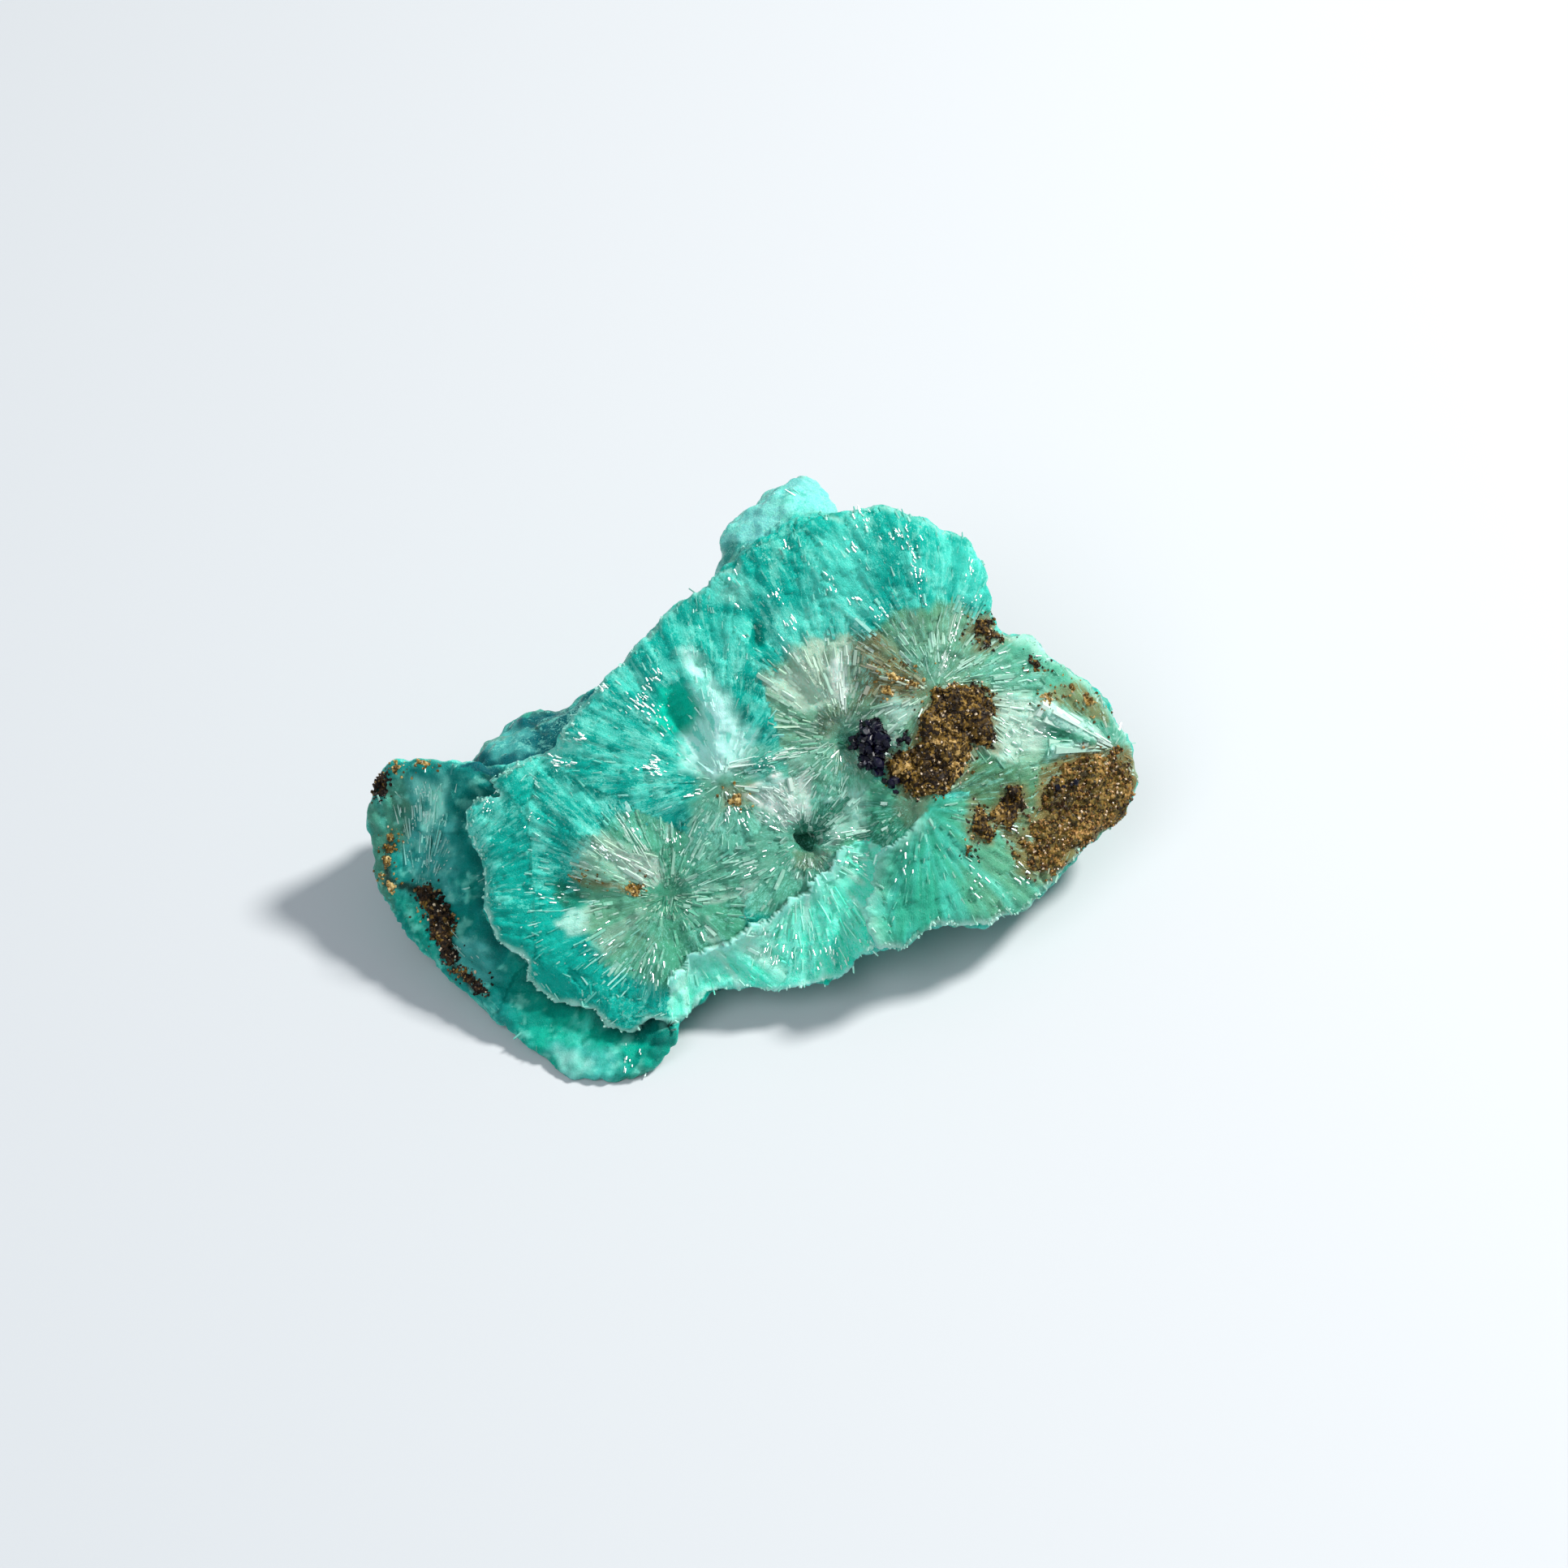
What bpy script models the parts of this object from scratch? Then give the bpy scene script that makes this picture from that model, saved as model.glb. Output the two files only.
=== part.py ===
"""Raw smithsonite: a blue-green fibrous mass with brown crusts and dark blue crystals on it.

Metres, +Z up. Outlines are in millimetres, in the frame of the broad broken face:
u runs along +X, v climbs the face and w points out of it. The face climbs from the
floor at FACE_CLIMB, and u = v = w = 0 is where the front ledge meets the floor.
"""

import math
import random

import bmesh
import bpy
import numpy as np
from mathutils import Matrix, Vector, noise
from mathutils.bvhtree import BVHTree

MM = 0.001
FACE_CLIMB = math.radians(40)
SEED = 7

MASS_TRIANGLES = 7600
CRUST_TRIANGLES = 420
SEAM_TRIANGLES = 260
FINE_VOXEL = 0.6
PLATE_VOXEL = 0.8
CRUST_VOXEL = 0.25
CRUST_GAP = 0.4
CRUST_THICKNESS = 1.1
SEAM_THICKNESS = 0.7

# The broad face, from its left corner round the upper rim, the right tip and the lip.
FACE_OUTLINE = [
    (-24.6, 22.9), (-23.5, 24.1), (-21.5, 24.4), (-22.4, 25.6), (-18.9, 27.6), (-16.7, 28.1),
    (-15.9, 30.3), (-12.6, 34.4), (-8.8, 37.9), (-7.9, 39.4), (-6.0, 41.3), (-4.3, 41.7),
    (-3.4, 42.9), (-1.7, 43.4), (-1.0, 45.4), (1.8, 47.1), (3.7, 48.3), (5.8, 48.3),
    (7.3, 47.6), (8.7, 48.6), (10.6, 48.8), (14.1, 47.7), (15.6, 46.8), (18.3, 46.2),
    (20.0, 43.9), (20.6, 39.4), (21.1, 38.0), (23.2, 38.1), (25.4, 35.8), (27.8, 34.5),
    (29.5, 32.8), (32.5, 28.7), (33.2, 25.4), (31.9, 22.1), (29.0, 20.2), (26.7, 18.4),
    (23.2, 14.5), (19.4, 13.5), (15.1, 13.4), (13.5, 12.0), (12.5, 11.5), (10.3, 11.9),
    (9.1, 10.3), (7.6, 9.1), (4.7, 8.5), (2.3, 7.8), (-1.2, 8.0), (-4.0, 7.9),
    (-5.4, 5.9), (-6.3, 5.3), (-8.8, 5.6), (-10.3, 4.3), (-12.5, 4.9), (-13.4, 6.3),
    (-16.9, 6.9), (-19.3, 8.8), (-19.0, 10.4), (-21.6, 12.0), (-22.8, 15.1), (-22.8, 17.9),
    (-24.2, 21.7),
]
# The lower left end and the front ledge, which run on beneath the face.
END_OUTLINE = [
    (-24.6, 27.3), (-28.5, 27.2), (-31.3, 27.1), (-32.1, 26.5), (-32.8, 23.9), (-33.3, 22.5),
    (-32.8, 18.8), (-32.1, 16.1), (-29.9, 13.1), (-26.7, 9.7), (-25.0, 8.1), (-22.5, 6.0),
    (-19.8, 3.6), (-18.2, 2.4), (-16.6, 0.6), (-14.9, 0.1), (-10.6, 0.1), (-8.5, 1.2),
    (-6.3, 3.4), (-5.5, 7.5), (-7.5, 12.7), (-15.8, 24.0), (-19.9, 26.1),
]
RIDGE_OUTLINE = [
    (-24.4, 27.2), (-22.8, 28.7), (-19.3, 29.3), (-15.7, 31.4), (-14.1, 33.2), (-12.6, 33.9),
    (-9.6, 33.6), (-10.3, 29.8), (-19.9, 23.0), (-23.7, 25.0),
]
LUMP_OUTLINE = [
    (-3.5, 42.8), (-2.7, 44.0), (-2.5, 46.4), (-0.4, 48.9), (1.7, 50.4), (4.6, 51.1),
    (6.3, 49.7), (7.3, 47.8), (8.6, 46.0), (6.9, 42.2), (2.1, 39.1), (-2.1, 40.1),
]

# Each ring of a plate is its depth behind the face and its size against the outline.
FACE_RINGS = [(0.0, 0.985), (-0.8, 1.0), (-2.6, 0.985), (-5.0, 0.93), (-8.0, 0.84)]
END_RINGS = [(0.0, 0.97), (-1.0, 1.0), (-3.0, 0.97), (-7.0, 0.78)]
RIDGE_RINGS = [(-7.5, 0.9), (-8.6, 1.0), (-12.0, 0.97), (-16.0, 0.8)]
LUMP_RINGS = [
    (-2.6, 0.55), (-3.0, 0.78), (-4.0, 0.94), (-6.0, 1.0), (-9.0, 0.97), (-12.0, 0.82),
    (-14.5, 0.5),
]

# Sections of the hidden bulk, across X: front foot, front, shoulder, crown, back and foot.
BULK_SECTIONS = [
    (-30.0, [(23.0, 2.2), (20.5, 2.8), (22.0, 5.0), (26.0, 7.4), (28.0, 6.0), (27.0, 3.5)]),
    (-24.0, [(16.0, 0.8), (13.5, 2.2), (18.0, 6.5), (24.2, 11.0), (28.6, 8.2), (26.5, 2.5)]),
    (-16.0, [(8.0, -1.5), (7.0, 1.5), (14.0, 8.0), (24.5, 14.0), (34.0, 9.5), (31.0, -1.5)]),
    (-8.0, [(8.0, -1.5), (8.5, 2.5), (18.0, 10.5), (30.0, 21.0), (39.5, 12.0), (35.5, -1.5)]),
    (4.0, [(13.5, -1.5), (12.0, 4.5), (24.0, 15.5), (36.5, 27.0), (44.0, 15.0), (39.0, -1.5)]),
    (14.0, [(20.0, -1.5), (17.0, 6.0), (26.0, 16.5), (36.0, 25.5), (43.5, 14.0), (37.0, -1.5)]),
    (20.5, [(25.0, 1.8), (20.0, 7.0), (27.0, 14.0), (34.0, 19.5), (41.0, 12.0), (35.0, 1.8)]),
    (27.0, [(28.0, 5.2), (23.5, 7.0), (27.0, 10.5), (31.0, 13.0), (36.0, 9.5), (33.0, 5.0)]),
    (30.5, [(27.5, 7.4), (25.5, 8.2), (26.5, 9.6), (28.5, 10.6), (30.5, 9.2), (29.5, 7.6)]),
]
# Rounded lumps on the back, where it faces far enough backwards and is off the floor.
BACK_LUMPS = 34
BACK_LUMP_RADII = (2.6, 5.2)
BACK_FACING = 0.35
BACK_LEAST_HEIGHT = 4.0
BACK_LUMP_SUNK = 0.7

# Fans of fibres: centre u, v, then the radius and the depth of the dish they leave.
DISHES = [
    (4.2, 20.6, 5.5, 1.2),
    (-7.1, 16.0, 7.5, 1.2),
    (7.6, 29.2, 6.5, 1.1),
    (14.9, 33.5, 5.5, 0.6),
    (-3.0, 27.5, 6.0, 0.8),
    (5.5, 16.5, 3.0, 0.0),
    (14.0, 23.7, 4.0, 0.4),
    (31.1, 28.3, 4.0, 0.3),
]
# Pits and hollows: centre u, v, then the half widths along u and v, and the depth.
PITS = [
    (4.2, 20.6, 1.0, 0.9, 2.2),
    (-5.5, 31.2, 1.6, 2.4, 1.6),
    (-15.2, 16.4, 1.7, 1.4, 1.3),
    (0.4, 38.0, 1.4, 1.7, 1.0),
    (-7.1, 15.6, 0.9, 1.1, 0.8),
    (7.9, 28.6, 1.0, 1.5, 1.2),
]
# Crests that stand between the fans.
CREST_HEIGHT = 0.9
CREST_WIDTH = 0.9
SCARP_CREST = [
    (-6.9, 9.0), (-5.5, 11.2), (-2.9, 11.9), (-1.6, 12.7), (1.2, 14.2), (3.4, 15.9), (6.2, 18.0),
    (7.3, 20.0),
]
PETAL_CREST = [(15.1, 24.0), (13.6, 22.1), (11.3, 20.3), (10.4, 17.5), (9.4, 14.8), (10.3, 11.9)]
BAND_CREST = [(-5.4, 34.0), (-3.4, 31.0), (-2.7, 25.8)]
# Fans that fall away towards the lip, each from its crest, within its outline.
MINT_FAN = SCARP_CREST + [(11.3, 20.3), (10.4, 17.5), (9.4, 14.8), (10.3, 6.0), (-7.5, 4.0)]
MINT_FALL = 0.32
# Ridges that run out from the centre of each fan.
FLUTES_AROUND = 22
FLUTE_HEIGHT = 0.55
FLUTE_START = 1.5
FLUTE_FULL = 4.0
FLUTE_FADE = 2.5
FLUTE_DRIFT = 0.06
FLUTE_CHANGE = 5.3
# The front is carved where it faces out of the face, fully from the second value on.
FRONT_FACING = (0.15, 0.6)
# Roughness all over: width and height. Knobs lie behind the front alone.
ROUGHNESS = [(6.0, 0.45), (2.6, 0.3)]
KNOB_WIDTH = 5.0
KNOB_HEIGHT = 0.9
KNOB_LEVEL = 0.6

# The face bends back towards the right tip, and a little towards the upper left.
TIP_START = 14.0
TIP_FALL = 0.52
LEFT_START = -14.0
LEFT_FALL = 0.16
# The left end lies lower away from the ledge, and dips from its outer edge to the face.
END_START = -15.0
END_LIFT = 0.9
END_FALL = 0.37
END_DIP = 2.0
END_DIP_REACH = 4.0

CENTRE_CRUST = [
    (15.4, 32.9), (17.4, 33.8), (18.7, 33.5), (20.3, 32.3), (20.6, 31.4), (19.8, 30.5),
    (20.3, 28.7), (18.3, 28.3), (18.0, 27.0), (16.2, 25.0), (14.2, 24.2), (12.7, 25.0),
    (11.6, 26.0), (11.8, 27.9), (13.2, 28.7), (13.4, 29.8), (14.7, 31.8),
]
TIP_CRUST = [
    (26.4, 27.0), (28.7, 28.1), (31.2, 27.7), (32.2, 25.8), (32.4, 24.2), (31.0, 22.4),
    (28.7, 20.9), (26.6, 19.2), (25.0, 18.0), (23.4, 17.6), (22.3, 18.6), (22.4, 20.2),
    (23.8, 21.4), (23.9, 23.6), (24.8, 25.8),
]
SEAM_CRUST = [
    (-28.4, 17.4), (-27.2, 16.6), (-26.0, 15.2), (-25.2, 12.8), (-24.4, 11.2), (-25.2, 10.9),
    (-26.4, 12.6), (-27.3, 14.4), (-28.6, 16.2),
]
# Glassy blades that lie on the right wing: start, end and half width.
BLADES = [
    ((24.1, 31.9), (30.5, 28.4), 1.0),
    ((24.7, 28.4), (28.4, 28.9), 0.7),
]
BLADE_SINK = 0.5
BLADE_RISE = 1.3
BLADE_RIDGE = 0.35
# Rings of a crust, and of a crystal as height and width against its length and radius.
CRUST_RINGS = [(1.0, 0.92), (0.5, 1.0), (0.0, 0.98)]
CRUST_GRAIN = [(1.2, 0.5), (2.6, 0.4)]
CRYSTAL_RINGS = [(0.0, 0.9), (0.65, 1.0), (1.0, 0.35)]
BLADE_RINGS = [(0.0, 0.6), (0.12, 1.0), (0.8, 0.7), (1.0, 0.15)]
CRYSTAL_FOOT = [
    (8.8, 27.4), (8.7, 29.0), (9.2, 30.4), (10.3, 30.6), (10.9, 29.6), (11.0, 28.4),
    (10.7, 27.0), (10.4, 26.2), (9.6, 26.3),
]
CRYSTAL_FOOT_THICKNESS = 0.5
CRYSTAL_FOOT_TRIANGLES = 150
CRYSTAL_RADII = (0.38, 0.68)
CRYSTAL_LENGTHS = (1.5, 2.3)
CRYSTAL_LEAN = 0.5
CRYSTAL_START = 0.45
CRYSTAL_PLACES = [
    (9.4, 29.9), (10.2, 29.8), (9.3, 28.9), (10.1, 28.9), (9.5, 28.0), (10.3, 28.1),
    (9.8, 27.2), (10.2, 26.8),
]
RAY_START = 20.0

BLUE_GREEN = (0.10, 0.62, 0.52)
BROWN = (0.22, 0.13, 0.06)
DARK_BROWN = (0.08, 0.04, 0.02)
INDIGO = (0.01, 0.006, 0.05)
GLASSY = 0.3
GRITTY = 0.8


def from_face(points):
    """Face millimetres to world metres."""
    u, v, w = np.asarray(points, dtype=float).T
    cos, sin = math.cos(FACE_CLIMB), math.sin(FACE_CLIMB)
    return np.column_stack((u, v * cos - w * sin, v * sin + w * cos)) * MM


def to_face(points):
    """World metres to face millimetres."""
    x, y, z = np.asarray(points, dtype=float).T / MM
    cos, sin = math.cos(FACE_CLIMB), math.sin(FACE_CLIMB)
    return np.column_stack((x, y * cos + z * sin, z * cos - y * sin))


def coordinates(mesh):
    values = np.empty(len(mesh.vertices) * 3)
    mesh.vertices.foreach_get("co", values)
    return values.reshape(-1, 3)


def set_coordinates(mesh, points):
    mesh.vertices.foreach_set("co", np.asarray(points).ravel())
    mesh.update()


def normals(mesh):
    values = np.empty(len(mesh.vertices) * 3)
    mesh.vertices.foreach_get("normal", values)
    return values.reshape(-1, 3)


def mesh_from(rings, name):
    """A closed solid skinned over rings of world points."""
    solid = bmesh.new()
    loops = [[solid.verts.new(point) for point in ring] for ring in rings]
    count = len(rings[0])
    for front, back in zip(loops, loops[1:]):
        for k in range(count):
            after = (k + 1) % count
            solid.faces.new((front[k], front[after], back[after], back[k]))
    solid.faces.new(loops[0])
    solid.faces.new(loops[-1])
    bmesh.ops.recalc_face_normals(solid, faces=solid.faces)
    mesh = bpy.data.meshes.new(name)
    solid.to_mesh(mesh)
    solid.free()
    return mesh


def plate(outline, rings, name):
    """A thick plate of the face frame, from its outline and its rings."""
    middle = np.mean(outline, axis=0)
    loops = []
    for w, size in rings:
        scaled = middle + (np.array(outline) - middle) * size
        loops.append(from_face([(u, v, w) for u, v in scaled]))
    return mesh_from(loops, name)


def bulk():
    """The hidden body of the stone, lofted through its sections."""
    loops = [[(x * MM, y * MM, z * MM) for y, z in section] for x, section in BULK_SECTIONS]
    return mesh_from(loops, "bulk")


def fused(meshes, voxel, name):
    """The union of closed meshes, evenly meshed."""
    joined = bmesh.new()
    for mesh in meshes:
        joined.from_mesh(mesh)
    source = bpy.data.meshes.new(name)
    joined.to_mesh(source)
    joined.free()
    holder = bpy.data.objects.new(name, source)
    bpy.context.collection.objects.link(holder)
    remesh = holder.modifiers.new("remesh", "REMESH")
    remesh.mode = "VOXEL"
    remesh.voxel_size = voxel * MM
    result = evaluated(holder)
    bpy.data.objects.remove(holder)
    return result


def evaluated(holder):
    graph = bpy.context.evaluated_depsgraph_get()
    return bpy.data.meshes.new_from_object(holder.evaluated_get(graph))


def thinned(mesh, triangles):
    """The mesh with its triangles collapsed to about the given count."""
    holder = bpy.data.objects.new("thinned", mesh)
    bpy.context.collection.objects.link(holder)
    split = holder.modifiers.new("triangles", "TRIANGULATE")
    split.min_vertices = 4
    collapse = holder.modifiers.new("collapse", "DECIMATE")
    collapse.ratio = min(1.0, triangles / (2 * len(mesh.polygons)))
    result = evaluated(holder)
    bpy.data.objects.remove(holder)
    return result


def distance_to_line(line, u, v):
    """The distance from each point to a line of straight runs."""
    nearest = np.full(len(u), np.inf)
    for (u0, v0), (u1, v1) in zip(line, line[1:]):
        du, dv = u1 - u0, v1 - v0
        along = ((u - u0) * du + (v - v0) * dv) / (du * du + dv * dv)
        along = np.clip(along, 0, 1)
        nearest = np.minimum(nearest, np.hypot(u - u0 - along * du, v - v0 - along * dv))
    return nearest


def inside(outline, u, v):
    """Whether each point lies within a closed outline."""
    within = np.zeros(len(u), dtype=bool)
    for (u0, v0), (u1, v1) in zip(outline, outline[1:] + outline[:1]):
        crosses = (v0 > v) != (v1 > v)
        rise = v1 - v0 if v1 != v0 else 1e-9
        within ^= crosses & (u < (u1 - u0) * (v - v0) / rise + u0)
    return within


def smooth_step(low, high, value):
    t = np.clip((value - low) / (high - low), 0, 1)
    return t * t * (3 - 2 * t)


def rough(points, size, seed):
    """Smooth noise in -1 to 1 whose features are about size millimetres wide."""
    shift = Vector((seed * 13.1, seed * 7.7, seed * 3.3))
    return np.array([noise.noise(Vector(p) / (size * MM) + shift) for p in points])


def knobs(points, size):
    """Rounded knobs about size millimetres wide: 1 on their tops, 0 between them."""
    nearest = np.array([noise.voronoi(Vector(p) / (size * MM))[0][0] for p in points])
    return 1 - np.clip(nearest, 0, 1) ** 2


def bend_face(face_points):
    """Bend the plate of the broad face back towards its right tip and its left corner."""
    u = face_points[:, 0]
    face_points[:, 2] -= TIP_FALL * np.maximum(u - TIP_START, 0)
    face_points[:, 2] -= LEFT_FALL * np.maximum(LEFT_START - u, 0)
    return face_points


def bend_end(face_points):
    """Lower the left end away from the ledge, and dip it beneath the face's edge."""
    u, v, w = face_points.T
    edge = distance_to_line(END_OUTLINE, u, v)
    w += END_LIFT - END_FALL * np.maximum(END_START - u, 0)
    w -= END_DIP * smooth_step(0, END_DIP_REACH, edge)
    return np.column_stack((u, v, w))


def dense_plate(outline, rings, bend, name):
    mesh = fused([plate(outline, rings, name)], PLATE_VOXEL, name)
    set_coordinates(mesh, from_face(bend(to_face(coordinates(mesh)))))
    return mesh


def ball(centre, radius):
    solid = bmesh.new()
    bmesh.ops.create_icosphere(
        solid, subdivisions=2, radius=radius, matrix=Matrix.Translation(centre)
    )
    mesh = bpy.data.meshes.new("ball")
    solid.to_mesh(mesh)
    solid.free()
    return mesh


def back_lumps(body):
    """Rounded lumps grown over the back, each sunk most of the way into the body."""
    chance = random.Random(SEED)
    points = coordinates(body)
    outward = normals(body)
    behind = [
        k for k in range(len(points))
        if outward[k][1] > BACK_FACING and points[k][2] > BACK_LEAST_HEIGHT * MM
    ]
    lumps = []
    for _ in range(BACK_LUMPS):
        k = chance.choice(behind)
        radius = chance.uniform(*BACK_LUMP_RADII) * MM
        centre = Vector(points[k]) - Vector(outward[k]) * radius * BACK_LUMP_SUNK
        lumps.append(ball(centre, radius))
    return lumps


def flutes(u, v):
    """Ridges that run out from the nearest fan's centre and fade where two fans meet."""
    centres = np.array([(cu, cv) for cu, cv, _, _ in DISHES])
    away = np.stack([np.hypot(u - cu, v - cv) for cu, cv in centres])
    nearest = away.argmin(axis=0)
    radius, second = np.sort(away, axis=0)[:2]
    angle = np.arctan2(v - centres[nearest, 1], u - centres[nearest, 0])
    turn = FLUTES_AROUND / math.tau
    change = nearest * FLUTE_CHANGE + radius * FLUTE_DRIFT
    places = np.column_stack((turn * np.cos(angle), turn * np.sin(angle), change))
    rise = np.array([noise.noise(Vector(place)) for place in places])
    fade = smooth_step(0, FLUTE_FADE, second - radius)
    return FLUTE_HEIGHT * rise * smooth_step(FLUTE_START, FLUTE_FULL, radius) * fade


def carve_face(mesh):
    """Dishes, pits, crests and fallen fans on the front, and roughness all over."""
    points = coordinates(mesh)
    face_points = to_face(points)
    u, v, w = face_points.T
    outward = to_face(normals(mesh) * MM)
    front = smooth_step(*FRONT_FACING, outward[:, 2])
    broad = front * inside(FACE_OUTLINE, u, v)
    relief = np.zeros(len(u))
    for cu, cv, radius, depth in DISHES:
        relief -= depth * np.exp(-((u - cu) ** 2 + (v - cv) ** 2) / radius**2)
    for cu, cv, half_u, half_v, depth in PITS:
        relief -= depth * np.exp(-(((u - cu) / half_u) ** 2) - ((v - cv) / half_v) ** 2)
    for crest in (SCARP_CREST, PETAL_CREST, BAND_CREST):
        relief += CREST_HEIGHT * np.exp(-((distance_to_line(crest, u, v) / CREST_WIDTH) ** 2))
    relief -= MINT_FALL * distance_to_line(SCARP_CREST, u, v) * inside(MINT_FAN, u, v)
    relief += flutes(u, v)
    face_points[:, 2] += relief * broad
    points = from_face(face_points)
    spread = sum(
        height * rough(points, width, seed + 1) for seed, (width, height) in enumerate(ROUGHNESS)
    )
    lumpy = (1 - front) * KNOB_HEIGHT * (knobs(points, KNOB_WIDTH) - KNOB_LEVEL)
    points += normals(mesh) * (spread + lumpy)[:, None] * MM
    set_coordinates(mesh, points)


def cut_flat(mesh, height):
    """Cut the mesh flat at a height and close the cut with the resting face."""
    solid = bmesh.new()
    solid.from_mesh(mesh)
    everything = solid.verts[:] + solid.edges[:] + solid.faces[:]
    bmesh.ops.bisect_plane(
        solid, geom=everything, plane_co=(0, 0, height), plane_no=(0, 0, 1), clear_inner=True
    )
    rim = [edge for edge in solid.edges if edge.is_boundary]
    bmesh.ops.holes_fill(solid, edges=rim, sides=0)
    bmesh.ops.triangulate(solid, faces=solid.faces)
    bmesh.ops.recalc_face_normals(solid, faces=solid.faces)
    solid.to_mesh(mesh)
    solid.free()


def blade(start, end, half_width, ground):
    """A long flat-faced crystal that lies along the ground, pointed at its far end."""
    start = np.array(start)
    along = np.array(end) - start
    across = np.array((-along[1], along[0])) / np.hypot(*along) * half_width
    loops = []
    for share, size in BLADE_RINGS:
        middle = start + along * share
        floor = depth_at(*middle, ground)
        ridge = middle - across * size * BLADE_RIDGE
        sides = [middle - across * size, ridge, middle + across * size]
        heights = [floor - BLADE_SINK, floor + BLADE_RISE * size, floor - BLADE_SINK]
        loops.append(from_face([(u, v, w) for (u, v), w in zip(sides, heights)]))
    return mesh_from(loops, "blade")


def fibrous_mass():
    face = dense_plate(FACE_OUTLINE, FACE_RINGS, bend_face, "face")
    end = dense_plate(END_OUTLINE, END_RINGS, bend_end, "end")
    ridge = plate(RIDGE_OUTLINE, RIDGE_RINGS, "ridge")
    lump = plate(LUMP_OUTLINE, LUMP_RINGS, "lump")
    body = fused([bulk()], PLATE_VOXEL, "body")
    mesh = fused([face, end, ridge, lump, body] + back_lumps(body), FINE_VOXEL, "fibrous_mass")
    carve_face(mesh)
    mesh = thinned(mesh, MASS_TRIANGLES)
    ground = ground_of(mesh)
    blades = [blade(start, end, half_width, ground) for start, end, half_width in BLADES]
    mesh = united(mesh, blades, "fibrous_mass")
    cut_flat(mesh, 0.0)
    return mesh


def depth_at(u, v, ground):
    """How far the ground lies along w at a place on the face."""
    outward = Vector((0, -math.sin(FACE_CLIMB), math.cos(FACE_CLIMB)))
    above = Vector(from_face([(u, v, RAY_START)])[0])
    return RAY_START - ground.ray_cast(above, -outward)[3] / MM


def crust(outline, thickness, ground, triangles, name):
    """A granular crust that follows the ground beneath it at a small gap."""
    slab = plate(outline, CRUST_RINGS, name)
    mesh = fused([slab], CRUST_VOXEL, name)
    points = coordinates(mesh)
    face_points = to_face(points)
    lift = np.clip(face_points[:, 2], 0, 1)
    grain = 1 + sum(
        share * rough(points, width, seed + 3) for seed, (width, share) in enumerate(CRUST_GRAIN)
    )
    ground_depth = np.array([depth_at(u, v, ground) for u, v, _ in face_points])
    face_points[:, 2] = ground_depth + CRUST_GAP + lift * thickness * grain
    set_coordinates(mesh, from_face(face_points))
    return thinned(mesh, triangles)


def crystal(place, direction, radius, length, name):
    """A six-sided crystal with a blunt pointed end."""
    turn = direction.to_track_quat("Z", "Y").to_matrix()
    loops = []
    for along, size in CRYSTAL_RINGS:
        ring = []
        for k in range(6):
            angle = math.tau * k / 6
            flat = Vector((math.cos(angle) * size, math.sin(angle) * size, 0)) * radius
            ring.append(place + turn @ (flat + Vector((0, 0, along * length))))
        loops.append(ring)
    return mesh_from(loops, name)


def united(first, others, name):
    """The exact union of closed meshes, one after another."""
    whole = first
    for other in others:
        holder = bpy.data.objects.new(name, whole)
        tool = bpy.data.objects.new("tool", other)
        for item in (holder, tool):
            bpy.context.collection.objects.link(item)
        union = holder.modifiers.new("union", "BOOLEAN")
        union.operation = "UNION"
        union.object = tool
        whole = evaluated(holder)
        bpy.data.objects.remove(holder)
        bpy.data.objects.remove(tool)
    return whole


def blue_crystals(ground):
    """A cluster of short crystals that stand on one shared foot."""
    chance = random.Random(SEED)
    foot = crust(CRYSTAL_FOOT, CRYSTAL_FOOT_THICKNESS, ground, CRYSTAL_FOOT_TRIANGLES, "foot")
    crystals = []
    for u, v in CRYSTAL_PLACES:
        radius = chance.uniform(*CRYSTAL_RADII)
        start = depth_at(u, v, ground) + CRUST_GAP + CRYSTAL_START * CRYSTAL_FOOT_THICKNESS
        place = Vector(from_face([(u, v, start)])[0])
        lean = [[chance.uniform(-CRYSTAL_LEAN, CRYSTAL_LEAN) for _ in range(2)] + [1.0]]
        direction = Vector(from_face(lean)[0]).normalized()
        length = radius * chance.uniform(*CRYSTAL_LENGTHS)
        crystals.append(crystal(place, direction, radius * MM, length * MM, "crystal"))
    return united(foot, crystals, "blue_crystals")


def ground_of(mesh):
    """The mesh as a tree that a ray can be cast on."""
    return BVHTree.FromPolygons(
        [vertex.co for vertex in mesh.vertices], [face.vertices[:] for face in mesh.polygons]
    )


def add_node(name, mesh, colour, roughness):
    material = bpy.data.materials.new(name)
    material.use_nodes = True
    shader = material.node_tree.nodes["Principled BSDF"]
    shader.inputs["Base Color"].default_value = (*colour, 1)
    shader.inputs["Roughness"].default_value = roughness
    mesh.materials.clear()
    mesh.materials.append(material)
    mesh.name = name
    bpy.context.collection.objects.link(bpy.data.objects.new(name, mesh))


def centre_on_floor(meshes):
    """Move everything so that the middle of its box is over the origin."""
    points = np.concatenate([coordinates(mesh) for mesh in meshes])
    middle = (points.min(axis=0) + points.max(axis=0)) / 2
    for mesh in meshes:
        set_coordinates(mesh, coordinates(mesh) - (middle[0], middle[1], 0))


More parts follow.
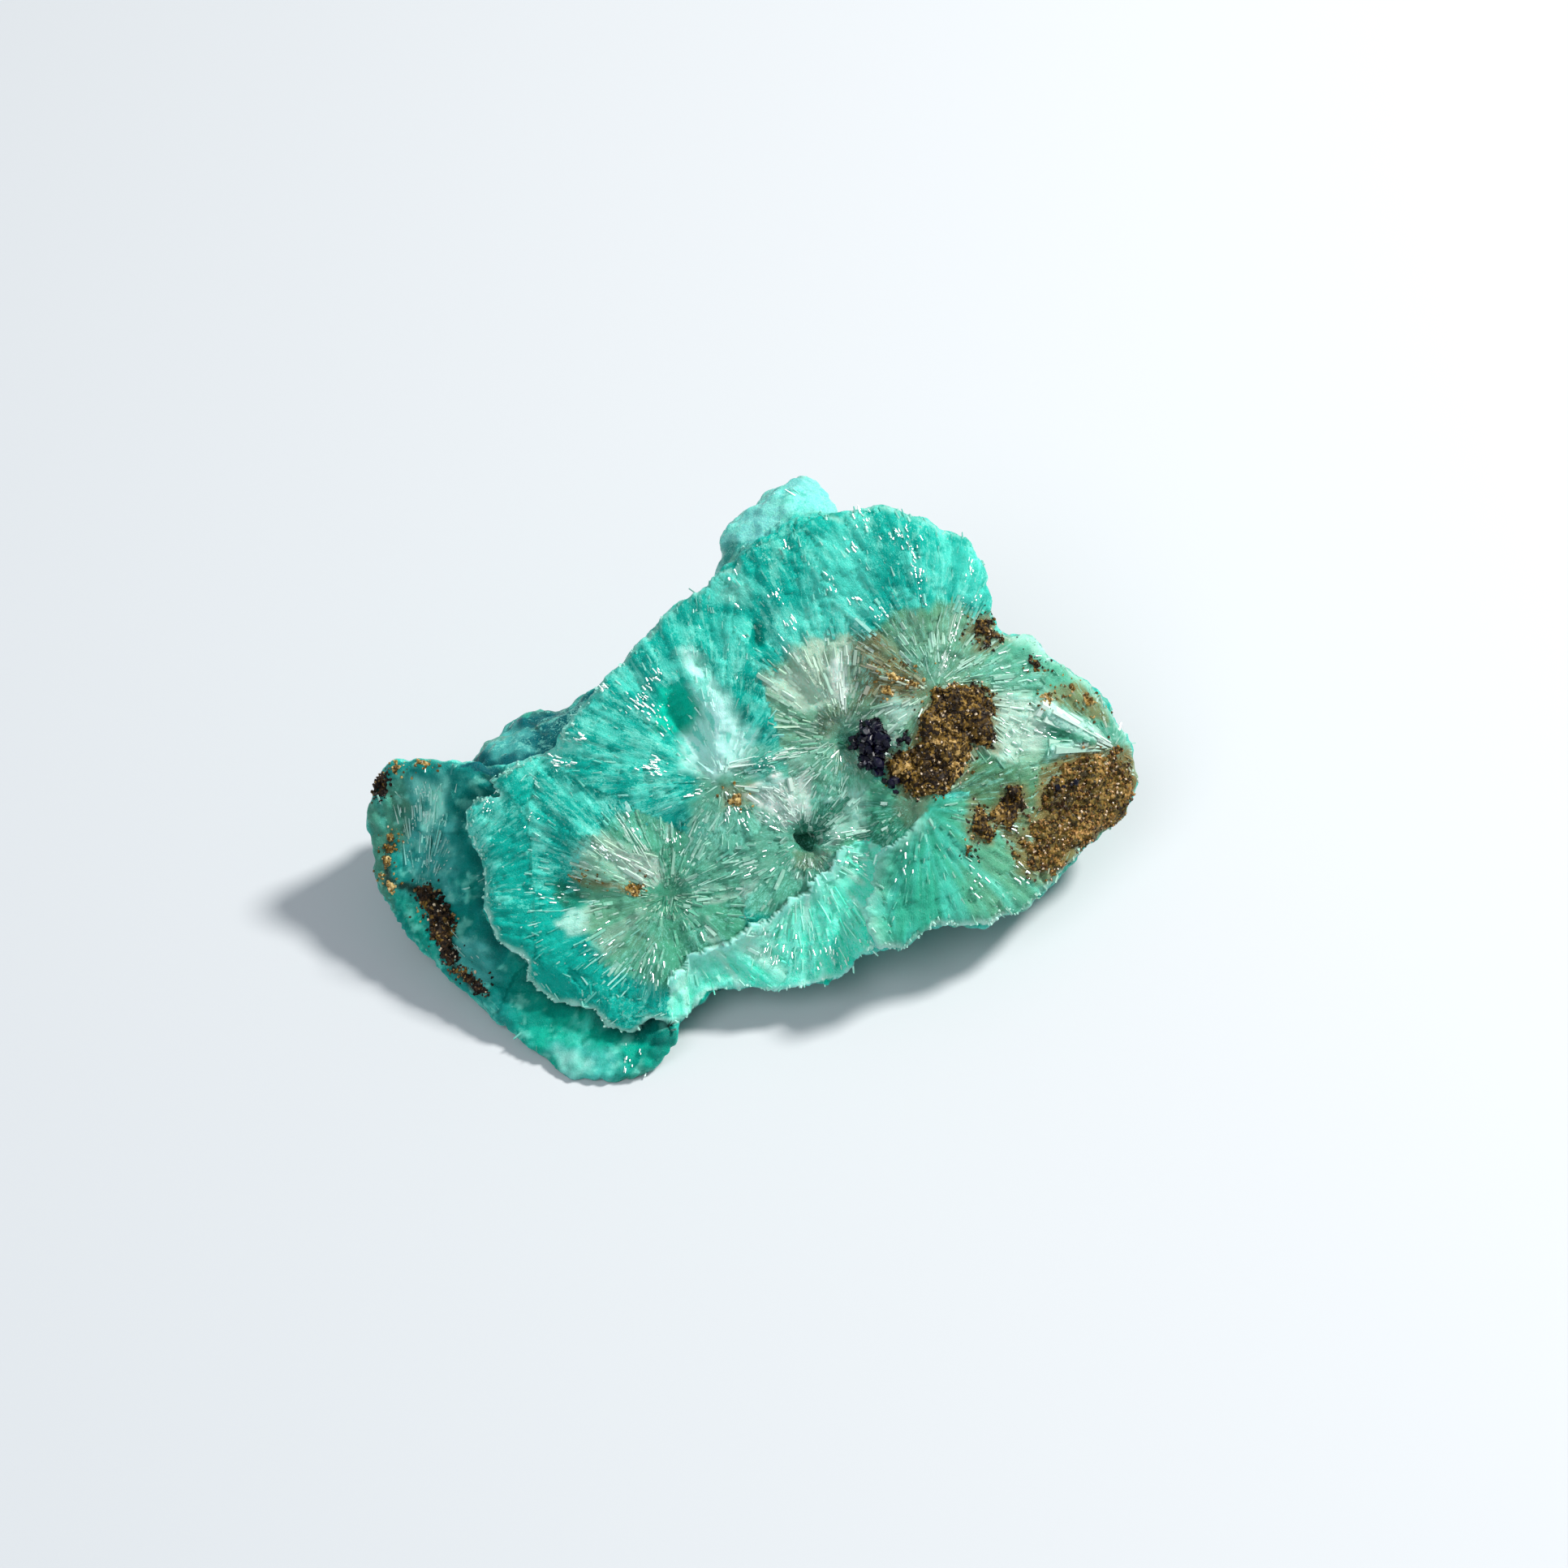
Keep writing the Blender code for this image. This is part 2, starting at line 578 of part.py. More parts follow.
def main():
    for item in list(bpy.data.objects):
        bpy.data.objects.remove(item)
    mass = fibrous_mass()
    ground = ground_of(mass)
    centre = crust(CENTRE_CRUST, CRUST_THICKNESS, ground, CRUST_TRIANGLES, "centre")
    tip = crust(TIP_CRUST, CRUST_THICKNESS, ground, CRUST_TRIANGLES, "tip")
    seam = crust(SEAM_CRUST, SEAM_THICKNESS, ground, SEAM_TRIANGLES, "seam")
    crystals = blue_crystals(ground)
    centre_on_floor([mass, centre, tip, seam, crystals])
    add_node("fibrous_mass", mass, BLUE_GREEN, GLASSY)
    add_node("brown_crust_centre", centre, BROWN, GRITTY)
    add_node("brown_crust_tip", tip, BROWN, GRITTY)
    add_node("brown_crust_seam", seam, DARK_BROWN, GRITTY)
    add_node("blue_crystals", crystals, INDIGO, GLASSY)


main()
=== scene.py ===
import math

import bmesh
import bpy
import numpy as np
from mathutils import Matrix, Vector, noise
from mathutils.bvhtree import BVHTree


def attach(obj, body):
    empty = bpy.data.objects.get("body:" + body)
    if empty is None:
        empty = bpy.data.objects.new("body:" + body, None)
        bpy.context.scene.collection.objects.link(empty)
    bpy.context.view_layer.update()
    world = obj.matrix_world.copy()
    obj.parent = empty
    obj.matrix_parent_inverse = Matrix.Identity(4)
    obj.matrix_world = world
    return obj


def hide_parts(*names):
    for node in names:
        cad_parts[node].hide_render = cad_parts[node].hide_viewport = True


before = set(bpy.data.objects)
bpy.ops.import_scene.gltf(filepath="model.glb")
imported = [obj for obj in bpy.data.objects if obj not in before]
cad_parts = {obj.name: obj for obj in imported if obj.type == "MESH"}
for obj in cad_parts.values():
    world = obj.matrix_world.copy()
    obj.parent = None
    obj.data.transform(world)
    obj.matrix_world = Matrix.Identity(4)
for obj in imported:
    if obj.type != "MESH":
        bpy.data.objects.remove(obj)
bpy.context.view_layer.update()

# Looks of the raw smithsonite, built around its imported solids. Sizes are in millimetres, and
# places are in the frame of the broad face, as in the part: u runs along +X, v climbs the face
# and w points out of it. Numbers that go with smooth_step, rough and knobs are the places, sizes
# and seeds of noises and soft edges, matched to the photo.

MM = 0.001
FACE_CLIMB = math.radians(40)
CLIMB_COS, CLIMB_SIN = math.cos(FACE_CLIMB), math.sin(FACE_CLIMB)
OUT_OF_FACE = Vector((0, -CLIMB_SIN, CLIMB_COS))
# Where u and v are 0: world x and y, and its pixel in the photo with the size of a pixel.
FACE_FOOT = (0.127, -23.140)
FOOT_PIXEL = (930, 1335)
PIXEL = 0.0686
PHOTO_SIZE = 1932

STONE_VOXEL = 0.47
STONE_SMOOTHINGS = 3

# Fans of fibres on the face: centre u, v, and radius.
FANS = [
    (4.2, 20.6, 7.4),  # at the pit
    (-7.2, 15.9, 7.6),  # left
    (7.6, 29.3, 8.6),  # at the blue crystals
    (15.4, 33.1, 7.4),  # upper right
    (-2.5, 25.4, 3.0),  # upper left
    (13.8, 23.4, 3.0),  # petal
    (31.0, 28.4, 4.0),  # tip
    (-30.0, 14.6, 2.0),  # left end
]
# Centres hidden in the stone: u, v, w. Its sides and back show the ends of their fibres.
HIDDEN_FANS = [
    (-14.0, 22.0, -18.0),
    (0.0, 30.0, -17.0),
    (14.0, 32.0, -14.0),
    (3.0, 41.0, -17.0),
    (-25.0, 20.0, -13.0),
    (25.0, 26.0, -16.0),
    (-12.0, 5.0, -9.0),
]
# The face bends back right of TIP_START and left of LEFT_START, this much for each millimetre.
TIP_START = 14.0
TIP_FALL = 0.52
LEFT_START = -14.0
LEFT_FALL = 0.16
PIT = (4.4, 20.6)
# Dents in the face: u, v, half width along u and v, and depth.
DENTS = [(-6.2, 31.2, 1.3, 2.0, 0.5), (0.3, 37.7, 0.4, 1.0, 0.8), (-4.5, 35.3, 0.7, 0.5, 0.7)]

FACE_OUTLINE = [
    (-24.6, 22.9), (-23.5, 24.1), (-21.5, 24.4), (-22.4, 25.6), (-18.9, 27.6), (-16.7, 28.1),
    (-15.9, 30.3), (-12.6, 34.4), (-8.8, 37.9), (-7.9, 39.4), (-6.0, 41.3), (-4.3, 41.7),
    (-3.4, 42.9), (-1.7, 43.4), (-1.0, 45.4), (1.8, 47.1), (3.7, 48.3), (5.8, 48.3),
    (7.3, 47.6), (8.7, 48.6), (10.6, 48.8), (14.1, 47.7), (15.6, 46.8), (18.3, 46.2),
    (20.0, 43.9), (20.6, 39.4), (21.1, 38.0), (23.2, 38.1), (25.4, 35.8), (27.8, 34.5),
    (29.5, 32.8), (32.5, 28.7), (33.2, 25.4), (31.9, 22.1), (29.0, 20.2), (26.7, 18.4),
    (23.2, 14.5), (19.4, 13.5), (15.1, 13.4), (13.5, 12.0), (12.5, 11.5), (10.3, 11.9),
    (9.1, 10.3), (7.6, 9.1), (4.7, 8.5), (2.3, 7.8), (-1.2, 8.0), (-4.0, 7.9),
    (-5.4, 5.9), (-6.3, 5.3), (-8.8, 5.6), (-10.3, 4.3), (-12.5, 4.9), (-13.4, 6.3),
    (-16.9, 6.9), (-19.3, 8.8), (-19.0, 10.4), (-21.6, 12.0), (-22.8, 15.1), (-22.8, 17.9),
    (-24.2, 21.7),
]
# The scarp beneath the pit, which the mint fan falls away from.
SCARP = [
    (-6.9, 9.0), (-5.5, 11.2), (-2.9, 11.9), (-1.6, 12.7), (1.2, 14.2), (3.4, 15.9), (6.2, 18.0),
    (7.3, 20.0),
]
MINT_FAN = SCARP + [(9.6, 20.6), (11.0, 19.6), (10.4, 17.5), (9.4, 14.8), (10.3, 6.0), (-7.5, 4.0)]
RIDGE = [
    (-24.8, 26.8), (-23.0, 30.0), (-16.0, 33.0), (-12.6, 36.0), (-12.0, 34.4), (-15.9, 30.4),
    (-16.9, 28.2), (-19.0, 27.7), (-22.3, 25.7),
]
PETAL_CREST = [(15.1, 24.0), (13.6, 22.1), (11.3, 20.3), (10.4, 17.5), (9.4, 14.8), (10.3, 11.9)]
PETAL = PETAL_CREST + [(10.5, 9.0), (24.0, 12.0), (24.5, 17.0), (20.5, 21.0), (18.0, 24.5)]
WING = [
    (15.0, 24.5), (18.0, 24.5), (20.5, 21.0), (24.5, 17.0), (26.0, 14.0), (36.0, 20.0),
    (35.0, 40.0), (21.5, 38.6), (19.5, 35.5), (20.5, 31.5), (19.0, 28.0),
]
LUMP = [
    (-4.5, 42.5), (-3.5, 47.0), (0.0, 52.0), (6.0, 52.0), (7.6, 48.2), (5.8, 48.5), (3.7, 48.5),
    (1.8, 47.3), (-1.0, 45.6), (-1.9, 43.4),
]
SEAM = [
    (-31.1, 20.6), (-31.4, 19.4), (-31.3, 16.9), (-28.4, 16.3), (-27.5, 15.2), (-26.3, 14.4),
    (-25.9, 11.7), (-25.5, 10.2), (-24.6, 8.8), (-23.5, 8.1),
]

# sRGB colours.
TURQUOISE = (0, 172, 156)
DEEP = (0, 140, 126)
# Painted shade for the groove under the rim and the recess above the ledge.
GROOVE_SHADE = (0, 84, 80)
MINT = (84, 214, 196)
FAN_MINT = (72, 240, 206)
BAND = (196, 255, 244)
PALE = (190, 242, 226)
MIST = (146, 238, 220)
WHITE = (232, 248, 240)
SAGE = (118, 172, 140)
SAGE_WHITE = (186, 218, 194)
OLIVE = (88, 134, 84)
TEAL_GREY = (100, 176, 150)
GREEN_TEAL = (92, 178, 144)
OLIVE_TEAL = (64, 148, 114)
DARK_TEAL = (28, 118, 92)
TIP_GREEN = (80, 112, 70)
TIP_OLIVE = (132, 128, 76)
STAIN = (124, 112, 66)
GREY_BROWN = (108, 116, 88)
FROST_BLUE = (84, 186, 180)
END_GREEN = (84, 142, 116)
# Painted shade: the dark teal of the rear ridge.
RIDGE_SHADE = (0, 92, 100)
SEA_GREEN = (96, 175, 145)
PETAL_GREEN = (52, 168, 138)
PETAL_SAGE = (100, 166, 132)
# Painted shade: the left end's teal, darker and bluer where the end lies in shade.
BLUE_TEAL = (8, 132, 126)
LEDGE_TEAL = (0, 172, 146)
HOLLOW = (0, 196, 168)
# Painted shade: dark green for the pit and a small hole.
PIT_SHADE = (28, 104, 78)
CLOUD = (182, 218, 200)
LUMP_MINT = (116, 200, 196)
BROWN = (76, 56, 18)
GOLD = (132, 102, 40)
BEIGE = (184, 152, 96)
DARK_BROWN = (30, 19, 8)
NEAR_BLACK = (16, 10, 6)
# Pale grains on the crusts, with painted sparkle.
PINKISH = (226, 206, 180)
# Painted highlight: the near-white colours of the glint splinters.
GLINT_MINT = (196, 238, 226)
GLINT_WHITE = (244, 252, 250)
BLACK_BLUE = (1, 1, 6)
DARK_INDIGO = (9, 7, 36)
INDIGO = (26, 24, 70)

# The first fans' colour, and the shares of olive at the edge and of pale and dark sectors.
FAN_SHADES = [
    (TEAL_GREY, 0.1, 0.45, 0.3),
    (GREEN_TEAL, 0.15, 0.3, 0.3),
    (SAGE, 0.2, 0.35, 0.2),
    (SAGE, 0.5, 0.2, 0.35),
    (TEAL_GREY, 0.0, 0.5, 0.3),
]
# Colours along the crusts' noise, from low to high, and how rough their shiniest grains are.
CRUST_SHADES = {
    "brown": ([(0.14, DARK_BROWN), (0.44, BROWN), (0.74, GOLD), (0.98, BEIGE)], 0.4),
    "golden": ([(0.05, BROWN), (0.35, GOLD), (0.65, (164, 136, 78)), (0.9, (206, 182, 124))], 0.35),
    "amber": (
        [(0.0, (44, 36, 12)), (0.3, (82, 70, 28)), (0.65, (122, 98, 42)), (1.0, (170, 132, 74))], 0.3,
    ),
    "dark": ([(0.05, NEAR_BLACK), (0.35, DARK_BROWN), (0.65, (66, 46, 26)), (0.95, GOLD)], 0.45),
}
GRAIN_SHADES = {
    "brown": [(0.2, DARK_BROWN), (0.48, BROWN), (0.74, GOLD), (0.97, BEIGE)],
    "golden": [(0.0, BROWN), (0.35, GOLD), (0.8, (190, 162, 104))],
    "amber": [
        (0.1, (54, 32, 12)), (0.42, (108, 76, 32)), (0.72, (146, 106, 52)), (1.0, (192, 150, 96)),
    ],
    "dark": [(0.05, NEAR_BLACK), (0.35, DARK_BROWN), (0.7, (76, 54, 32)), (0.98, BEIGE)],
}

# Shades that have no pale flakes on them.
FLAKELESS = (HOLLOW, DEEP, TURQUOISE, TEAL_GREY, GREEN_TEAL)
# Areas of the face that differ in colour, painted in this order: outline, colour, share,
# how soft the edge is, and how far the fibres show in it.
FACE_AREAS = [
    ([(-8.4, 33.4), (-6.0, 33.8), (-4.9, 31.6), (-5.6, 29.4), (-8.2, 29.8)], HOLLOW, 0.95, 0.3, 0.0),
    # Deep turquoise on the dents at (-4.5, 35.3), here, and (0.3, 37.7), two rows down: painted shade
    # in those pockets.
    ([(-6.2, 36.2), (-4.0, 36.0), (-3.2, 34.6), (-5.2, 34.0)], DEEP, 0.8, 0.4, 0.3),
    ([(-6.6, 40.6), (-5.6, 41.8), (-4.2, 41.4), (-4.4, 39.0), (-5.8, 38.4)], DEEP, 0.7, 0.4, 0.4),
    ([(-0.5, 38.8), (0.6, 38.6), (0.7, 36.8), (-0.2, 36.6)], DEEP, 0.9, 0.2, 0.0),
    ([(-1.6, 34.6), (0.6, 34.2), (0.4, 32.8), (-1.4, 33.0)], DEEP, 0.8, 0.4, 0.3),
    ([(-2.2, 32.2), (-0.6, 31.8), (-0.6, 30.2), (-2.0, 30.2)], DEEP, 0.7, 0.4, 0.3),
    ([(-2.8, 43.8), (-0.4, 45.8), (0.4, 44.6), (-1.0, 43.2)], DEEP, 0.6, 0.4, 0.2),
    ([(-4.0, 42.4), (-2.0, 43.2), (0.2, 42.0), (-0.6, 40.4), (-3.4, 40.6)], MIST, 0.6, 0.6, 0.5),
    ([(-3.4, 39.2), (-1.0, 39.4), (-0.8, 36.6), (-3.2, 36.4)], MINT, 0.6, 0.6, 0.5),
    ([(4.6, 46.8), (8.8, 47.2), (10.0, 43.0), (8.6, 38.6), (4.0, 36.4), (1.6, 37.6), (4.2, 41.0)],
     MINT, 0.75, 0.9, 0.7),
    ([(13.8, 44.6), (18.8, 46.0), (20.2, 43.6), (20.6, 39.6), (18.8, 40.2), (14.6, 41.0)],
     MINT, 0.35, 0.7, 0.7),
    ([(8.8, 48.8), (11.2, 48.8), (15.6, 47.0), (14.8, 45.0), (12.4, 46.0), (9.6, 47.4)],
     TURQUOISE, 0.9, 0.4, 0.3),
    ([(2.2, 47.4), (5.6, 48.4), (6.4, 47.2), (3.0, 46.2)], TURQUOISE, 0.9, 0.4, 0.3),
    ([(-2.6, 43.2), (-0.8, 45.4), (2.0, 47.0), (5.4, 48.2), (6.6, 46.4), (3.4, 44.8), (0.4, 43.6)],
     TURQUOISE, 0.9, 0.4, 0.4),
    ([(-20.0, 13.0), (-15.6, 12.4), (-11.4, 9.6), (-10.0, 5.6), (-13.4, 5.4), (-19.0, 8.4)],
     TURQUOISE, 0.7, 0.8, 0.4),
]
# Areas within the fans, painted after them.
FAN_AREAS = [
    ([(-5.6, 24.2), (-2.0, 25.8), (1.6, 25.0), (3.0, 20.0), (0.6, 17.0), (-4.0, 17.0), (-5.8, 21.0)],
     TEAL_GREY, 0.95, 0.8, 0.4),
    ([(7.0, 26.0), (13.0, 26.0), (15.6, 24.6), (13.6, 21.8), (11.0, 20.0), (7.0, 19.4)],
     GREEN_TEAL, 0.98, 0.7, 0.3),
    ([(-6.4, 36.4), (-5.0, 33.4), (-4.8, 31.0), (-6.2, 29.2), (-6.2, 26.8), (-3.6, 25.8),
      (-0.4, 27.2), (0.2, 29.6), (-1.6, 30.4), (-2.4, 32.4), (-3.6, 34.6), (-5.2, 37.0)],
     BAND, 1.0, 0.8, 0.25),
    ([(1.4, 33.2), (2.6, 35.6), (4.6, 37.4), (8.0, 37.8), (8.4, 33.6), (6.8, 31.6), (3.4, 32.2)],
     SAGE_WHITE, 0.9, 0.6, 0.6),
    ([(5.8, 35.4), (7.9, 36.6), (8.0, 32.8), (6.4, 31.8)], WHITE, 0.55, 0.4, 0.9),
    ([(8.0, 37.6), (10.6, 38.0), (11.0, 34.6), (10.4, 32.2), (8.4, 31.6)], GREY_BROWN, 0.8, 0.5, 0.6),
    ([(8.8, 37.0), (11.2, 37.6), (13.4, 35.0), (13.0, 33.2), (10.4, 33.4)], STAIN, 0.6, 0.6, 0.5),
    ([(10.4, 32.8), (13.4, 33.0), (13.4, 31.0), (10.8, 30.6)], CLOUD, 0.8, 0.5, 0.6),
    ([(5.0, 30.4), (6.0, 31.8), (7.8, 31.6), (7.6, 30.0), (6.0, 29.2)], GREY_BROWN, 0.6, 0.4, 0.4),
    # Painted shade in a small hole.
    ([(6.8, 29.4), (8.4, 29.8), (8.6, 28.2), (7.2, 28.2)], PIT_SHADE, 0.8, 0.3, 0.0),
    ([(-0.6, 28.6), (6.4, 28.6), (7.6, 27.0), (7.4, 24.4), (5.0, 25.4), (1.0, 25.6)],
     TEAL_GREY, 0.6, 0.6, 0.6),
    ([(-1.0, 24.6), (1.6, 26.0), (4.6, 26.0), (4.5, 23.0), (2.8, 21.8), (0.6, 22.6)],
     WHITE, 0.62, 0.3, 0.8),
    ([(5.8, 24.4), (7.8, 24.6), (8.8, 25.6), (9.6, 24.0), (9.4, 21.4), (6.2, 21.2)],
     PALE, 0.6, 0.4, 0.8),
    ([(-4.6, 19.2), (2.6, 19.8), (5.6, 18.6), (3.2, 16.2), (-1.4, 13.0), (-4.4, 13.2)],
     OLIVE_TEAL, 0.15, 0.6, 0.8),
    ([(3.0, 19.6), (6.6, 19.8), (5.8, 18.2), (3.4, 18.4)], STAIN, 0.45, 0.3, 0.3),
    ([(9.0, 24.2), (12.2, 24.0), (13.6, 22.4), (11.4, 20.4), (9.2, 20.2)], DARK_TEAL, 0.65, 0.4, 0.8),
    ([(4.7, 21.1), (5.2, 22.9), (6.2, 23.9), (8.0, 24.4), (7.5, 23.2), (6.5, 21.8), (5.4, 20.7)],
     DARK_TEAL, 0.9, 0.15, 0.4),
    ([(3.9, 21.3), (3.8, 22.4), (4.2, 22.9), (4.6, 22.4), (4.8, 21.3)], DARK_TEAL, 0.85, 0.15, 0.2),
    ([(11.6, 25.0), (14.0, 25.2), (14.4, 23.0), (12.8, 21.8), (11.8, 22.8)], GREY_BROWN, 0.7, 0.4, 0.4),
    ([(-14.9, 20.2), (-12.6, 21.4), (-8.2, 19.6), (-7.9, 17.0), (-10.6, 16.9), (-13.4, 17.4),
      (-15.2, 18.4)], SAGE_WHITE, 0.55, 0.3, 0.7),
    ([(-11.6, 19.8), (-8.6, 19.2), (-8.0, 17.2), (-10.2, 17.4)], WHITE, 0.45, 0.5, 0.8),
    ([(-15.4, 17.8), (-12.2, 17.2), (-9.6, 16.8), (-9.6, 16.0), (-12.4, 16.4), (-15.2, 17.0)],
     STAIN, 0.75, 0.25, 0.3),
    ([(-17.0, 17.2), (-15.2, 17.0), (-14.2, 15.6), (-15.6, 14.6), (-17.0, 15.6)],
     DARK_TEAL, 0.75, 0.3, 0.2),
    ([(-16.8, 13.8), (-15.6, 14.6), (-14.0, 14.8), (-13.8, 13.0), (-15.6, 12.6)],
     PALE, 0.75, 0.25, 0.2),
    ([(-15.8, 20.8), (-14.0, 21.2), (-13.2, 20.2), (-15.2, 19.4)], DARK_TEAL, 0.55, 0.4, 0.3),
    ([(-7.8, 20.4), (-6.6, 20.2), (-5.6, 15.0), (-6.2, 10.8), (-8.0, 11.4), (-8.0, 16.0)],
     OLIVE_TEAL, 0.6, 0.5, 0.8),
    ([(-14.8, 16.2), (-8.6, 15.8), (-8.4, 11.6), (-11.4, 10.8), (-14.0, 12.8)], SAGE, 0.5, 0.6, 0.8),
    ([(-3.0, 25.2), (-0.6, 25.4), (-0.2, 23.6), (-2.6, 23.2)], BEIGE, 0.35, 0.4, 0.2),
]
WING_AREAS = [
    ([(17.8, 34.6), (24.0, 37.4), (26.6, 34.8), (24.2, 33.0), (20.6, 33.4)], SEA_GREEN, 0.5, 0.6, 0.8),
    ([(21.4, 37.8), (23.4, 38.2), (25.2, 35.8), (23.6, 36.2)], PALE, 0.6, 0.4, 0.4),
    ([(20.4, 33.2), (23.4, 32.8), (24.6, 30.4), (24.2, 27.6), (21.4, 26.8), (19.8, 28.4)],
     CLOUD, 0.95, 0.6, 0.2),
    ([(18.4, 27.8), (21.2, 27.2), (24.6, 26.8), (24.4, 22.6), (21.4, 20.8), (17.4, 22.4), (17.2, 25.4)],
     TIP_GREEN, 0.75, 0.7, 0.5),
    ([(22.0, 28.2), (24.4, 28.4), (24.8, 26.4), (22.2, 26.0)], SAGE, 0.6, 0.4, 0.3),
    ([(24.2, 32.2), (25.2, 33.6), (27.4, 34.0), (29.6, 32.4), (30.4, 30.4), (28.4, 30.8), (26.0, 32.0)],
     TIP_OLIVE, 0.8, 0.4, 0.4),
    ([(24.6, 30.4), (28.0, 29.6), (30.4, 28.6), (26.0, 28.9), (24.8, 29.4)], OLIVE_TEAL, 0.6, 0.3, 0.6),
    ([(23.9, 32.2), (25.3, 32.2), (28.2, 30.4), (31.0, 28.6), (29.0, 29.0), (25.0, 30.7)],
     PALE, 0.8, 0.25, 0.5),
    ([(25.2, 28.9), (27.0, 29.0), (31.0, 28.5), (29.6, 28.0), (25.4, 27.6)], PALE, 0.7, 0.25, 0.4),
    ([(24.4, 26.8), (28.2, 28.4), (32.8, 28.0), (33.2, 23.6), (30.0, 20.6), (26.0, 17.6), (22.4, 18.4),
      (22.0, 20.6), (24.0, 22.4)], TIP_OLIVE, 0.9, 0.6, 0.3),
    ([(29.0, 28.2), (32.6, 28.2), (33.2, 24.4), (30.6, 22.6), (30.2, 25.6)], GOLD, 0.8, 0.6, 0.0),
    ([(20.2, 21.4), (22.8, 20.6), (23.4, 17.4), (21.0, 18.2), (19.4, 20.2)], TIP_GREEN, 0.4, 0.5, 0.6),
]
END_AREAS = [
    ([(-30.4, 27.0), (-25.0, 27.4), (-22.0, 25.6), (-24.6, 23.0), (-24.2, 17.8), (-26.0, 17.0),
      (-26.4, 23.0), (-29.0, 25.8)], BLUE_TEAL, 0.7, 0.6, 0.4),
    ([(-29.6, 25.8), (-26.4, 25.6), (-25.6, 21.0), (-25.4, 15.4), (-28.8, 16.6), (-30.4, 19.4),
      (-30.2, 23.0)], FROST_BLUE, 0.5, 0.8, 1.0),
    ([(-28.9, 25.5), (-26.3, 25.5), (-26.2, 22.4), (-28.4, 21.4)], MIST, 0.75, 0.7, 1.0),
    ([(-32.0, 25.2), (-29.8, 26.2), (-29.0, 22.6), (-30.2, 19.6), (-31.4, 21.4)],
     END_GREEN, 0.75, 0.5, 0.4),
    ([(-33.4, 24.0), (-32.0, 23.8), (-31.2, 20.6), (-31.4, 17.0), (-30.6, 14.6), (-33.4, 16.0)],
     END_GREEN, 0.7, 0.4, 0.2),
    ([(-30.8, 15.6), (-28.6, 15.4), (-26.4, 10.2), (-28.2, 10.0)], LEDGE_TEAL, 0.5, 0.6, 0.2),
    ([(-26.4, 11.6), (-24.6, 12.8), (-22.6, 11.4), (-21.8, 8.6), (-24.0, 8.6)],
     FROST_BLUE, 0.75, 0.5, 0.7),
    ([(-17.4, 3.4), (-15.4, 3.4), (-11.6, 2.8), (-11.4, 0.8), (-15.4, 0.0)], FROST_BLUE, 0.6, 0.6, 1.0),
    ([(-16.8, 3.0), (-15.0, 2.6), (-13.4, 1.6), (-14.6, 0.6), (-16.4, 1.4)], PALE, 0.25, 0.5, 1.0),
    # Painted shade in the recess between the rim and the ledge.
    ([(-11.0, 5.6), (-5.6, 6.4), (-5.8, 3.0), (-9.0, 2.8)], GROOVE_SHADE, 0.6, 0.7, 0.0),
]
